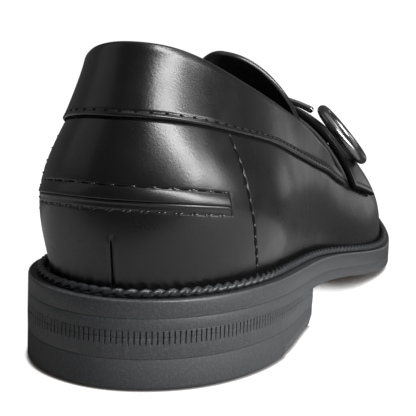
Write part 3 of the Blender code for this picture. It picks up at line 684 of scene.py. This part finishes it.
def last_point(along, angle):
    """Point of the vamp: angle runs from 0 at the outer feather line over 90 to 180 at the inner."""
    along, angle = np.broadcast_arrays(np.asarray(along, float), np.radians(angle))
    outer, inner, foot, across, ridge, power = (
        np.reshape(part, along.shape) for part in section(along.ravel()))
    cosine, sine = np.cos(angle), np.clip(np.sin(angle), 0, 1)
    reach = np.abs(cosine) ** (2 / power) * np.where(cosine > 0, outer - across, inner - across)
    return np.stack([along, across + reach, foot + (ridge - foot) * sine ** (2 / power)], axis=-1)


def angle_at_height(along, height):
    """Angle (degrees, outer half) at which the vamp's section reaches a height."""
    along, height = np.broadcast_arrays(np.asarray(along, float), np.asarray(height, float))
    _, _, foot, _, ridge, power = (np.reshape(part, along.shape) for part in section(along.ravel()))
    share = np.clip((height - foot) / (ridge - foot), 0, 1)
    return np.degrees(np.arcsin(share ** (power / 2)))


print("ridge over the throat:", np.round(last_point(THROAT, 90.0), 1))

# %% Surface of the quarters
QUARTER_END = 112.0
BULGE_FULLNESS = 0.6
BAND_BEND = 1.3            # the collar band is pulled nearly straight from its edge to the topline
TOP_ROLL = 0.7             # the folded topline's edge stands above the last row by this
WAY_STEPS = 800
SHARES = np.linspace(0, 1, WAY_STEPS + 1)

# Topline: along, outer side, inner side, up
TOPLINE = np.array([
    (15.3, 0.0, 0.0, 87.1), (18.3, 8.0, -7.9, 86.3), (25.8, 14.9, -15.0, 83.4), (36.0, 20.2, -19.8, 79.0),
    (50.0, 24.0, -23.4, 74.2), (76.0, 27.3, -25.6, 66.8), (92.0, 29.6, -26.2, 61.5),
    (110.0, 31.0, -26.8, 55.0), (128.0, 32.4, -27.8, 48.4), (143.0, 33.2, -29.2, 42.2),
    (156.0, 33.7, -31.0, 37.4),
])
# From heel back to throat: share of the way, bulge outwards, and the shares of the height at which
# the collar's edge lies and the bulge ends
QUARTER = np.array([
    (0.0, 7.9, 0.711, 0.95), (0.1, 7.4, 0.716, 0.92), (0.2, 6.7, 0.727, 0.868), (0.3, 6.4, 0.743, 0.87),
    (0.45, 4.2, 0.748, 0.87), (0.6, 2.5, 0.757, 0.87), (0.8, 1.5, 0.815, 0.87), (1.0, 1.2, 0.905, 0.87),
])


def quarter_lines(sign):
    """Foot, topline and outward direction of one quarter at even shares of the way."""
    feather = FEATHER[sign]
    end = np.searchsorted(feather[:, 0], THROAT)
    corner = THROAT, np.interp(THROAT, feather[:, 0], feather[:, 1])
    base = points_at(np.concatenate([feather[:end], [corner]]), SHARES)
    rail = np.concatenate([TOPLINE[::-1, [0, 1, 3]], TOPLINE[1:, [0, 2, 3]]])
    chord = reach_along(rail)
    end = 0.0 if sign > 0 else chord[-1]
    places = np.linspace(chord[len(TOPLINE) - 1], end, WAY_STEPS)
    top = points_at(natural_spline(chord, rail, places), SHARES)
    top[:, 2] -= TOP_ROLL
    run = np.gradient(base, axis=0)
    run[0] = 0, sign
    run = unit(run)
    outward = sign * np.column_stack([-run[:, 1], run[:, 0]])
    return np.column_stack([base, foot_height(base[:, 0]), top, outward])


LINES = {sign: quarter_lines(sign) for sign in (1, -1)}


def quarter_point(sign, way, height):
    """Point of a quarter at shares of the way from heel back to throat and of the height."""
    read = [np.interp(way, SHARES, column) for column in LINES[sign].T]
    foot, top = np.stack(read[:3], axis=-1), np.stack(read[3:6], axis=-1)
    point = foot + (top - foot) * height[..., None]
    bulge, collar, bulge_end = (natural_spline(QUARTER[:, 0], QUARTER[:, k], way) for k in (1, 2, 3))
    turn = np.clip(np.minimum(height, collar) / bulge_end, 0, 1)
    band = np.clip((1 - height) / (1 - collar), 0, 1) ** BAND_BEND
    swell = bulge * (0.5 - 0.5 * np.cos(2 * np.pi * turn)) ** BULGE_FULLNESS * band
    point[..., 0] += read[6] * swell
    point[..., 1] += read[7] * swell
    angle = angle_at_height(read[0], point[..., 2])
    vamp = last_point(read[0], angle if sign > 0 else 180 - angle)
    blend = smooth_step(read[0], QUARTER_END, THROAT)[..., None]
    return point * (1 - blend) + vamp * blend


print("heel back at half height:", np.round(quarter_point(1, np.zeros(1), np.full(1, 0.5)), 1)[0])

# %% [markdown]
# ## Grid of the upper
# The upper is one net of points. Its columns stand close together where something fine happens: at
# the dart in the heel's back, at the end of the heel strip and along the side seam, which leans, so
# the columns lean with it. Its rows crowd at the strip and at the collar's edge.

# %% Columns and rows of the upper
# Side seam: share of the height, share of the way
SEAM = np.array([(0.0, 0.299), (0.019, 0.294), (0.221, 0.241), (0.387, 0.211), (0.495, 0.198),
                 (0.622, 0.188), (0.713, 0.176), (1.0, 0.15)])
SEAM_COLUMN, SEAM_AT_STRIP = 0.2, 0.2085
STRIP_LOW, STRIP_FOLD, STRIP_TOP, STRIP_END = 0.353, 0.388, 0.443, 0.16


def spans(*parts):
    """Places from start to end in parts, each (end, steps), with the start at 0."""
    places = [np.zeros(1)]
    for end, steps in parts:
        places.append(np.linspace(places[-1][-1], end, steps + 1)[1:])
    return np.concatenate(places)


columns = spans((0.012, 12), (0.144, 34), (0.162, 15), (0.188, 6), (0.212, 22), (1.0, 58))
lower = spans((0.02, 4), (0.1, 9), (0.335, 14), (0.46, 34))
near_collar = np.linspace(-0.022, 0.046, 22)
ROWS_BETWEEN, ROWS_ABOVE = 9, 9
STRIP_ROW = 40             # a row near the strip's fold
COLLAR_ROW = len(lower) + ROWS_BETWEEN + int(np.argmin(np.abs(near_collar)))
seam_index, end_index = (int(np.argmin(np.abs(columns - place)))
                         for place in (SEAM_COLUMN, STRIP_END / SEAM_AT_STRIP * SEAM_COLUMN))


def way_and_height(columns):
    """Shares of the way and of the height for every point of one quarter's net."""
    nominal = columns[:, None]
    collar = natural_spline(QUARTER[:, 0], QUARTER[:, 2], nominal)
    start, end = collar + near_collar[0], collar + near_collar[-1]
    between = np.linspace(0, 1, ROWS_BETWEEN + 2)[1:-1]
    rows = np.concatenate([np.broadcast_to(lower, (len(columns), len(lower))),
                           lower[-1] + (start - lower[-1]) * between, collar + near_collar,
                           end + (1 - end) * np.linspace(0, 1, ROWS_ABOVE + 1)[1:]], axis=1)
    seam = np.interp(rows, SEAM[:, 0], SEAM[:, 1])
    way = np.where(nominal <= SEAM_COLUMN, nominal / SEAM_COLUMN * seam,
                   seam + (nominal - SEAM_COLUMN) / (1 - SEAM_COLUMN) * (1 - seam))
    return way, rows


way, height = way_and_height(columns)
smooth = {sign: quarter_point(sign, way, height) for sign in (1, -1)}
print("net of one quarter:", smooth[1].shape[:2])

# %% [markdown]
# ## Relief of the leather
# The overlays, folds and seams are fine steps in the surface, worked out from distances in
# millimetres: up from the collar's edge, along from the seam, round from the heel's back. The collar
# band lies on the quarter and is held by a row of stitches that pulls it in. The heel strip is folded
# over, so it swells down to its fold and drops into a crease. At the welt the leather puckers.

# %% Relief of the quarters
COLLAR_STEP, STRIP_STEP, FLAP_STEP = 0.9, 0.8, 0.15
STITCH_IN = 1.5            # from the collar's edge to its stitches
COLLAR_FADE = 0.93, 1.0    # shares of the way
DART_FOOT, DART_TOP, DART_DEPTH = (1.2, 2.0), (13.5, 15.2), 1.2
PLEAT_PITCH, PLEAT_DEPTH, PLEAT_HEIGHT = 4.6, 0.14, 3.6
PLEATS_START, PLEATS_END = (1.0, 5.0), (22.0, 40.0)


def hill(distance, centre, width):
    """A smooth hill of height 1 at a centre, which falls to about a third at its width."""
    return np.exp(-((distance - centre) / width) ** 2)


def grid_reach(points, axis):
    """Distance along one direction of a net of points, from its first line."""
    step = np.linalg.norm(np.diff(points, axis=axis), axis=-1)
    return np.concatenate([np.zeros_like(np.take(step, [0], axis)), np.cumsum(step, axis)], axis)


def quarter_relief(points):
    """Outward relief of one quarter in millimetres, and how far each point is painted shade: the dark line
    under the collar's edge, partly on the edge itself, and the creases at the strip's fold and end.
    """
    rise, along = grid_reach(points, 1), grid_reach(points, 0)
    above = rise - rise[:, [COLLAR_ROW]]
    fade = 1 - smooth_step(way, *COLLAR_FADE)
    collar = (COLLAR_STEP * smooth_step(above, -0.16, 0.16) + 0.12 * hill(above, 0.5, 0.4)
              - 0.25 * hill(above, -0.35, 0.3) - 0.2 * hill(above, STITCH_IN, 0.3)) * fade
    # The folded strip: it swells from its top down to the fold, and a flap lies under the fold
    per_share = rise[:, [-1]]
    low, fold, top = ((height - share) * per_share for share in (STRIP_LOW, STRIP_FOLD, STRIP_TOP))
    past_end = along - along[[end_index]]
    swell = np.sin(np.pi / 2 * np.clip(top / (STRIP_FOLD - STRIP_TOP) / per_share, 0, 1)) ** 0.8
    strip = np.where(fold > 0, STRIP_STEP * swell * smooth_step(fold, 0.0, 0.25),
                     (FLAP_STEP + 0.3 * hill(fold, -0.35, 0.4)) * smooth_step(low, -0.1, 0.2))
    strip += -0.35 * hill(fold, 0.0, 0.16) - 0.2 * hill(top, 0.35, 0.3) - 0.12 * hill(low, -0.35, 0.35)
    reached = 1 - smooth_step(past_end, -0.3, 0.3)
    at_end = smooth_step(low, -1.0, 0.0) * (1 - smooth_step(top, 0.0, 1.0))
    strip = strip * reached - 0.3 * hill(past_end, 0.35, 0.3) * at_end
    # The side seam, and the dart and the pleats at the foot of the heel
    beside = along - along[[seam_index]]
    seam = (-0.15 * hill(beside, 0.0, 0.4) + 0.06 * hill(beside, 1.0, 0.6)) * smooth_step(-above, 0.1, 0.6)
    slit = smooth_step(rise, *DART_FOOT) * (1 - smooth_step(rise, *DART_TOP))
    dart = slit * (-DART_DEPTH * hill(along, 0.0, 0.28) + 0.22 * hill(along, 0.8, 0.45))
    pleats = PLEAT_DEPTH * np.cos(2 * np.pi * along / PLEAT_PITCH) * hill(rise, 0.0, PLEAT_HEIGHT)
    pleats *= smooth_step(along, *PLEATS_START) * (1 - smooth_step(along, *PLEATS_END))
    # Painted shade: a black line in the groove under the collar's edge, partly on the edge itself, and in the
    # creases at the strip's fold and its end
    cut = np.maximum.reduce([hill(above, -0.25, 0.3) * fade, hill(fold, 0.05, 0.2) * reached,
                             hill(past_end, 0.3, 0.3) * at_end])
    return collar + strip + seam + dart + pleats, cut


reliefs = {sign: quarter_relief(net) for sign, net in smooth.items()}
print("relief from", round(reliefs[1][0].min(), 2), "to", round(reliefs[1][0].max(), 2), "mm")

# %% [markdown]
# ## Thick sheets
# Leather has a thickness that shows at every free edge. A sheet here is an outer net, the same net
# moved inwards as the lining, and a half-round rim joining them round each edge.

# %% Thick sheets
def point_normals(points, faces):
    """Unit normals at the points of a mesh, from the faces round each."""
    corners = np.array([(face[0], face[1], face[2], face[-1]) for face in faces])
    first, second, third, fourth = (points[corners[:, k]] for k in range(4))
    flat = np.cross(third - first, fourth - second)
    total = np.zeros_like(points)
    for k in range(4):
        np.add.at(total, corners[:, k], flat)
    return total / np.maximum(np.linalg.norm(total, axis=1, keepdims=True), 1e-12)


def turned_over(faces, shift):
    """The same faces seen from the other side, on points that are numbered further on."""
    return [tuple(np.array(face)[::-1] + shift) for face in faces]


def close_rim(points, faces, outer, inner, away, steps, swell):
    """Adds a half-round rim between two closed lists of point numbers. It bulges by swell in the
    direction away."""
    angle = np.linspace(0, np.pi, steps + 1)[1:-1, None, None]
    middle, half = (points[outer] + points[inner]) / 2, (points[outer] - points[inner]) / 2
    made = middle + half * np.cos(angle) + away * swell * np.sin(angle)
    start = len(points)
    rings = [outer] + [start + k * len(outer) + np.arange(len(outer)) for k in range(steps - 1)] + [inner]
    points = np.concatenate([points, made.reshape(-1, 3)])
    index = np.stack([np.append(ring, ring[0]) for ring in rings])
    return points, faces + grid_faces(index)


print("sheet helpers ready")

# %% Net of the whole upper
VAMP_STATIONS, VAMP_CROWDING = 46, 0.92
OVER_STEPS = 26

quarters = np.concatenate([smooth[1][::-1], smooth[-1][1:]])
levels = quarters.shape[1]
flank = angle_at_height(THROAT, quarters[0, :, 2])
over = np.linspace(flank[-1], 180 - flank[-1], OVER_STEPS + 1)[1:-1]
angles = np.concatenate([flank, over, 180 - flank[::-1]])
front = FEATHER[1][FEATHER[1][:, 0] >= THROAT]
stations = points_at(front, spans((1.0, VAMP_STATIONS)) ** VAMP_CROWDING)[1:-1, 0]
vamp = last_point(stations[:, None], angles[None, :])
throat = last_point(THROAT, over)
tip = np.array([[FEATHER_TIP, FEATHER[1][-1, 1], foot_height(FEATHER_TIP)]])
skin = np.concatenate([quarters.reshape(-1, 3), throat, vamp.reshape(-1, 3), tip])
index = numbers_of(quarters)
over_index = index.size + np.arange(len(over))
vamp_index = index.size + len(over) + numbers_of(vamp)
vamp_index = np.concatenate([[np.concatenate([index[0], over_index, index[-1, ::-1]])], vamp_index])
end = len(skin) - 1
skin_faces = grid_faces(index) + grid_faces(vamp_index[::-1])
skin_faces += [(end, vamp_index[-1, k + 1], vamp_index[-1, k]) for k in range(vamp_index.shape[1] - 1)]
normals = point_normals(skin, skin_faces)
heel_back = index[len(columns) - 1, levels // 2]
if normals[heel_back, 0] > 0:
    normals = -normals
    skin_faces = [tuple(face)[::-1] for face in skin_faces]
# cut holds how far each point of the quarters is painted shade
bumps, cut = np.zeros((2, len(skin)))
for k, values in enumerate((bumps, cut)):
    values[:index.size] = np.concatenate([reliefs[1][k][::-1], reliefs[-1][k][1:]]).ravel()
print("upper's net:", len(skin), "points")

# %% [markdown]
# ## Stitches
# Each stitch is a short bead of waxed thread, rounded at both ends where it dives into the leather,
# and it lies half sunk in its groove. A row is drawn along a line of the net at the thread's real
# spacing. The same bead, flattened, dull and black, is painted shade in a needle hole: small ones
# along the collar, long slits on the side seam with a dot of thread between each pair.

# %% Stitches
BEAD_AROUND, BEAD_ALONG = 8, 6


def bead():
    """A unit bead: points of a small sphere, and its faces."""
    polar = np.linspace(0, np.pi, BEAD_ALONG + 1)[1:-1, None]
    spin = circle(BEAD_AROUND)[None, :]
    rings = np.stack(np.broadcast_arrays(np.cos(polar), np.sin(polar) * np.cos(spin),
                                         np.sin(polar) * np.sin(spin)), axis=-1)
    points = np.concatenate([rings.reshape(-1, 3), [[1.0, 0, 0], [-1.0, 0, 0]]])
    net = numbers_of(rings)
    net = np.column_stack([net, net[:, 0]])
    head, tail = len(points) - 2, len(points) - 1
    caps = [(head, net[0, k + 1], net[0, k]) for k in range(BEAD_AROUND)]
    caps += [(tail, net[-1, k], net[-1, k + 1]) for k in range(BEAD_AROUND)]
    return points, grid_faces(net) + caps


def stitch_row(line, normals, pitch, length, radius, sunk=0.35, flat=1.0, start=0.5, slant=0.0):
    """Points and faces of a row of stitches along a line on a surface with these normals. Each may be
    flattened and turned on the surface, and the row starts at a share of the pitch."""
    shape, shape_faces = bead()
    reach = reach_along(line)
    count = int(reach[-1] // pitch)
    places = (np.arange(count) + start) * reach[-1] / count

    def read(values, at):
        return np.stack([np.interp(at, reach, values[:, k]) for k in range(3)], axis=1)

    centre, lift = read(line, places), read(normals, places)
    run = unit(read(line, places + length / 2) - read(line, places - length / 2))
    lift = unit(lift - run * np.sum(lift * run, axis=1)[:, None])
    run, side = turned(run, np.cross(run, lift), slant)
    frame_of = np.stack([run * length / 2, side * radius, lift * radius * flat], axis=1)
    points = (shape @ frame_of) + (centre + lift * radius * flat * (1 - 2 * sunk))[:, None]
    faces = np.array([face if len(face) == 4 else (*face, -1) for face in shape_faces])
    every = faces[None] + (np.arange(count) * len(shape))[:, None, None]
    every = np.where(faces[None] < 0, -1, every).reshape(-1, 4)
    return points.reshape(-1, 3), [tuple(face[face >= 0]) for face in every]


def sew(points, faces, finish, rows):
    """Adds rows to a mesh, each given as its line with normals, its material's number and its sizes."""
    for line, number, *sizes in rows:
        row_points, row_faces = stitch_row(*line, *sizes)
        faces = faces + [tuple(np.array(face) + len(points)) for face in row_faces]
        points = np.concatenate([points, row_points])
        finish = finish + [number] * len(row_faces)
    return points, faces, finish


print("one stitch has", len(bead()[0]), "points")

# %% Upper with its seams
RIM_STEPS = 6
THREAD, EDGE_AND_PAINTED_SHADE = 2, 3         # numbers of these finishes

outer = skin + normals * bumps[:, None]
skin_normals = point_normals(outer, skin_faces)
points = np.concatenate([outer, skin - normals * WALL])
count = len(skin)
faces = [tuple(face) for face in skin_faces]
# Faces in the painted shade under the collar's edge and in the strip's creases get the black material
finish = [EDGE_AND_PAINTED_SHADE if np.mean(cut[list(face)]) > 0.5 else 0 for face in faces]
faces += turned_over(skin_faces, count)
finish += [1] * len(skin_faces)
mouth = np.concatenate([index[:, -1], over_index[::-1]])
before = np.concatenate([index[:, -2], vamp_index[1, levels:levels + len(over)][::-1]])
away = unit(skin[mouth] - skin[before])
feather_line = np.concatenate([index[:, 0], vamp_index[1:, -1], [end], vamp_index[:0:-1, 0]])
for loop, steps, swell, out in ((mouth, RIM_STEPS, TOP_ROLL, away), (feather_line, 1, 0.0, 0.0)):
    points, faces = close_rim(points, faces, loop, loop + count, out, steps, swell)
    finish += [1] * (len(faces) - len(finish))

net = outer[index]
net_normals = skin_normals[index]
rise = grid_reach(net, 1)


def line_at_rise(wanted, keep):
    """Line across the quarters' columns at a distance up each, with its normals."""
    found = []
    for k in np.flatnonzero(keep):
        found.append([np.interp(wanted[k], rise[k], values[k, :, axis])
                      for values in (net, net_normals) for axis in range(3)])
    found = np.array(found)
    return found[:, :3], found[:, 3:]


print("upper's sheet:", len(points), "points")

# %% Rows of stitches on the upper
COLLAR_ROW_END = 0.97      # share of the way
UPPER_ROW_OUT, LOWER_ROW_OUT = 0.5, -0.45    # from the strip's edges
ROW_MARGIN = 4             # rows of the net left free at both ends of the side seam

collar_way, strip_way = (np.concatenate([way[::-1, row], way[1:, row]]) for row in (COLLAR_ROW, STRIP_ROW))
strip_rows = [int(np.argmin(np.abs(height[0] - share))) for share in (STRIP_TOP, STRIP_LOW)]
collar_line = line_at_rise(rise[:, COLLAR_ROW] + STITCH_IN + 0.3, collar_way < COLLAR_ROW_END)
upper_line, lower_line = (line_at_rise(rise[:, row] + shift, strip_way < STRIP_END)
                          for row, shift in zip(strip_rows, (UPPER_ROW_OUT, LOWER_ROW_OUT)))
middle = len(columns) - 1
seams = [[values[column, ROW_MARGIN:COLLAR_ROW - ROW_MARGIN] for values in (net, net_normals)]
         for column in (middle - seam_index, middle + seam_index)]
# Line, finish, pitch, length, radius, share sunk, flatness, start, slant
ROWS = [
    (collar_line, THREAD, 4.0, 2.7, 0.15, 0.5, 1.0, 0.0, 0.0),
    (upper_line, THREAD, 4.9, 1.3, 0.3, 0.35, 1.0, 0.0, 0.0),
    (lower_line, THREAD, 4.2, 1.5, 0.3, 0.35, 1.0, 0.5, 0.45),
    (lower_line, THREAD, 4.2, 1.0, 0.24, 0.35, 1.0, 0.8, 0.45),
    *((seam, THREAD, 3.5, 0.8, 0.4, 0.42, 1.0, 0.0, 0.0) for seam in seams),
    # Flat black beads: painted shade in the needle holes and in the seam's slits
    (collar_line, EDGE_AND_PAINTED_SHADE, 4.0, 1.1, 0.42, 0.3, 0.35, 0.5, 0.0),
    (upper_line, EDGE_AND_PAINTED_SHADE, 4.9, 3.0, 0.3, 0.3, 0.4, 0.5, 0.0),
    *((seam, EDGE_AND_PAINTED_SHADE, 3.5, 2.9, 0.75, 0.25, 0.25, 0.5, 0.0) for seam in seams),
]
points, faces, finish = sew(points, faces, finish, ROWS)
add_piece("upper_sewn", points, faces, [box_calf, lining, thread, edge_dye_and_painted_shade], finish, ["upper"],
          180)

# %% [markdown]
# ## Tongue
# The tongue is a round-topped flap that comes out from under the strap. It follows the last at a
# small distance and stands off it at its free end. A shallow groove is pressed round its edge.

# %% Tongue
TONGUE_THICKNESS = 2.0
TONGUE_END, TONGUE_DOME, TONGUE_FOOT = 125.6, 15.5, 164.0
TONGUE_SPREAD, TONGUE_TURN = (41.0, 42.0), (15.0, 0.0)    # degrees, at its end and at its foot
TONGUE_HALF_WIDTH, TONGUE_STEPS = 30.0, 60
# Along, how far it stands off the last
TONGUE_RISE = np.array([(TONGUE_END, 1.2), (142.0, -1.2), (154.0, -WALL - 2 * GAP),
                        (TONGUE_FOOT, -WALL - 2 * GAP)])


def edge_of(index):
    """Point numbers round the edge of a net, in order."""
    return np.concatenate([index[0, :-1], index[:-1, -1], index[-1, :0:-1], index[:0:-1, 0]])


def sheet_of(net, thickness, bumps, round_by, rim_finish):
    """Points, faces, finish and normals of a thick sheet from its smooth net. The bumps are added to
    its outer face."""
    index = numbers_of(net)
    base = net.reshape(-1, 3)
    faces = grid_faces(index)
    normals = point_normals(base, faces)
    if np.sum(normals[:, 2]) < 0:
        normals = -normals
        faces = [face[::-1] for face in faces]
    outer = base + normals * np.ravel(bumps)[:, None]
    inner = base - normals * thickness
    points = np.concatenate([outer, inner])
    every = [tuple(face) for face in faces] + turned_over(faces, len(base))
    finish = [0] * len(faces) + [1] * len(faces)
    loop = edge_of(index)
    tangent = np.roll(base[loop], -1, axis=0) - np.roll(base[loop], 1, axis=0)
    away = unit(np.cross(tangent, normals[loop]))
    away *= np.sign(np.sum(away * (base[loop] - base.mean(axis=0))))
    points, every = close_rim(points, every, loop, loop + len(base), away, RIM_STEPS, round_by)
    finish += [rim_finish] * (len(every) - len(finish))
    return points, every, finish, point_normals(outer, faces).reshape(net.shape)


def net_normals_of(net):
    """Upward normals at the points of a net."""
    normals = point_normals(net.reshape(-1, 3), grid_faces(numbers_of(net)))
    return (normals * np.sign(np.sum(normals[:, 2]))).reshape(net.shape)


side = np.linspace(-1, 1, TONGUE_STEPS + 1)[None, :]
share = spans((0.2, 8), (1.0, 52))[:, None]
tongue_end = TONGUE_END + TONGUE_DOME * (1 - np.sqrt(1.03 - side ** 2))
along = TONGUE_FOOT + (tongue_end - TONGUE_FOOT) * share
spread, lean = (np.interp(along, [TONGUE_END, TONGUE_FOOT], ends) for ends in (TONGUE_SPREAD, TONGUE_TURN))
stand_off = natural_spline(TONGUE_RISE[:, 0], TONGUE_RISE[:, 1], along)
base = last_point(along, 90 + lean + spread * side)
base = base + net_normals_of(base) * stand_off[..., None]
round_edge = np.minimum(along - tongue_end, (1 - np.abs(side)) * TONGUE_HALF_WIDTH)
groove = -0.2 * hill(round_edge, 3.0, 0.6)
points, faces, finish, _ = sheet_of(base, TONGUE_THICKNESS, groove, 0.5, 0)
add_piece("tongue_flap", points, faces, [strap_calf, lining], finish, ["tongue"], 180)

# %% [markdown]
# ## Saddle strap
# The strap is a separate band over the vamp, thick enough to throw a dark line along its rear edge.
# Its ends are held to the upper by a row of stitches near the edge.

# %% Saddle strap
STRAP_FRONT, STRAP_THICKNESS = 181.0, 1.8
STRAP_FOOT_REAR, STRAP_FOOT_FRONT = 34.2, 28.4
STRAP_ARCH = 3.2           # how far its middle stands off the vamp over the ridge
STRAP_STITCH_IN = 2.4      # from its ends to their stitches
STRAP_NET = 44, 240


def strap_net(distance, stations, steps):
    """Net of the strap at a distance from the vamp: stations along, angles from foot to foot."""
    share, round_share = np.linspace(0, 1, stations)[:, None], np.linspace(0, 1, steps)[None, :]
    along = THROAT + 2 * GAP + (STRAP_FRONT - THROAT - 2 * GAP) * share
    low = angle_at_height(along, STRAP_FOOT_REAR + (STRAP_FOOT_FRONT - STRAP_FOOT_REAR) * share)
    arch = STRAP_ARCH * np.sin(np.pi * share) * np.sin(np.pi * round_share)
    net = last_point(along, low + (180 - 2 * low) * round_share)
    return net + net_normals_of(net) * (distance + arch)[..., None]


base = strap_net(GAP + STRAP_THICKNESS, *STRAP_NET)
from_rear, from_foot = grid_reach(base, 0), grid_reach(base, 1)
to_edge = np.minimum.reduce([from_rear, from_rear[[-1]] - from_rear, from_foot,
                             from_foot[:, [-1]] - from_foot])
groove = -0.18 * hill(to_edge, 2.2, 0.5)
points, faces, finish, normals = sheet_of(base, STRAP_THICKNESS, groove, 0.4, EDGE_AND_PAINTED_SHADE)
outer = points[:base.shape[0] * base.shape[1]].reshape(base.shape)
first = np.flatnonzero(from_foot[0] < STRAP_STITCH_IN)[-1]
last = np.flatnonzero(from_foot[0] > from_foot[0, -1] - STRAP_STITCH_IN)[0]
rows = [([values[ROW_MARGIN:-ROW_MARGIN, column] for values in (outer, normals)], THREAD, 2.3, 1.8, 0.3)
        for column in (first, last)]
points, faces, finish = sew(points, faces, finish, rows)
add_piece("saddle_strap_sewn", points, faces, [strap_calf, strap_calf, thread, edge_dye_and_painted_shade], finish,
          ["saddle_strap"], 180)

# %% [markdown]
# ## Ring and bar
# The fitting is cast and plated: a ring lies on each flank of the strap, and a bar joins them over
# the ridge. The ring's wire is a little flattened, and the bar swells in the middle and at its ends.

# %% Rings
RING_RADIUS, RING_WIRE = 11.0, 2.1
RING_OUTER, RING_INNER = 36.0, 27.0
RING_LEAN, RING_SWING = np.radians([4.0, 3.0])    # it hangs steeper, and its front edge stands off
RING_FLAT, RING_STEPS, WIRE_STEPS = 0.9, 120, 24
BAR_PLAY = 1.5             # from the ring to the point that the bar's end is drawn to
LINE_ROWS, LINE_POINTS = 7, 281
SEAT_NET = 49, 201

# The strap's outer face along its middle, and distances there from the ridge, positive on the outer side
face = strap_net(GAP + STRAP_THICKNESS, LINE_ROWS, LINE_POINTS)
LINE, LINE_NORMALS = (values[LINE_ROWS // 2] for values in (face, net_normals_of(face)))
LINE_PLACES = reach_along(LINE)[LINE_POINTS // 2] - reach_along(LINE)


def on_strap(distance):
    """A point on the strap's outer face at a distance from the ridge, and the normal there."""
    nearest = int(np.argmin(np.abs(LINE_PLACES - distance)))
    return LINE[nearest], LINE_NORMALS[nearest]


def ring_frame(distance):
    """Centre of a ring on the strap, and its directions: forward, up to the ridge, and off the strap."""
    seat, normal = on_strap(distance)
    forward = np.array([1.0, 0.0, 0.0])
    forward = unit(forward - normal * (forward @ normal))
    ridgeward = np.cross(normal, forward)
    ridgeward *= math.copysign(1.0, ridgeward[2])
    normal, ridgeward = turned(normal, ridgeward, -RING_LEAN)
    normal, forward = turned(normal, forward, -RING_SWING)
    offset = strap_net(GAP + STRAP_THICKNESS, *SEAT_NET).reshape(-1, 3) - seat
    height = offset @ normal
    aside = np.linalg.norm(offset - height[:, None] * normal, axis=1) - RING_RADIUS
    near = np.abs(aside) < RING_WIRE + GAP
    lift = np.max(height[near] + np.sqrt((RING_WIRE + GAP) ** 2 - aside[near] ** 2))
    return seat + normal * lift, forward, ridgeward, normal


ends = []
turn = circle(RING_STEPS)[:, None, None]
spin = circle(WIRE_STEPS)[None, :, None]
for name, node_name, distance in (("ring_near", "ring_outer", RING_OUTER),
                                  ("ring_far", "ring_inner", -RING_INNER)):
    centre, forward, ridgeward, normal = ring_frame(distance)
    radial = forward * np.cos(turn) + ridgeward * np.sin(turn)
    points = centre + radial * (RING_RADIUS + RING_WIRE * np.cos(spin))
    points = points + normal * (RING_WIRE * RING_FLAT * np.sin(spin))
    faces = tube_faces(numbers_of(points), True)
    add_piece(name, points.reshape(-1, 3), faces, [gunmetal], 0, [node_name], 180)
    ends.append(centre + ridgeward * (RING_RADIUS + RING_WIRE + BAR_PLAY))

# %% Bar
BAR_WIRE, BAR_STATIONS = 1.3, 61
BAR_RISE = 0.08            # share of the way by which its ends are drawn up to the rings
BAR_WAIST, BAR_ROUNDING = 0.86, 0.93    # its wire between the knobs, and where its ends start to round

clear = RING_RADIUS + RING_WIRE
places = np.linspace(RING_OUTER - clear, clear - RING_INNER, BAR_STATIONS)
path = np.array([seat + normal * (BAR_WIRE + GAP) for seat, normal in map(on_strap, places)])
share = np.linspace(-1, 1, len(path))[:, None]
near, far = np.clip(-share, 0, 1) ** 2, np.clip(share, 0, 1) ** 2
path += BAR_RISE * (near * (ends[0] - path[0]) + far * (ends[1] - path[-1]))
run = unit(np.gradient(path, axis=0))
first = unit(np.cross(run, [1.0, 0.0, 0.0]))
second = np.cross(run, first)
from_middle = np.abs(share[:, 0])
knobs = np.maximum(hill(from_middle, 1.0, 0.16), hill(from_middle, 0.0, 0.22))
round_end = np.clip((from_middle - BAR_ROUNDING) / (1 - BAR_ROUNDING), 0, 1)
thick = BAR_WIRE * (BAR_WAIST + (1 - BAR_WAIST) * knobs) * np.sqrt(np.clip(1 - round_end ** 2, 0.04, 1))
section_line = first[:, None] * np.cos(spin) + second[:, None] * np.sin(spin)
points = path[:, None] + thick[:, None, None] * section_line
faces = tube_faces(numbers_of(points), False)
add_piece("bar_cast", points.reshape(-1, 3), faces, [gunmetal], 0, ["bit_bar"], 180)
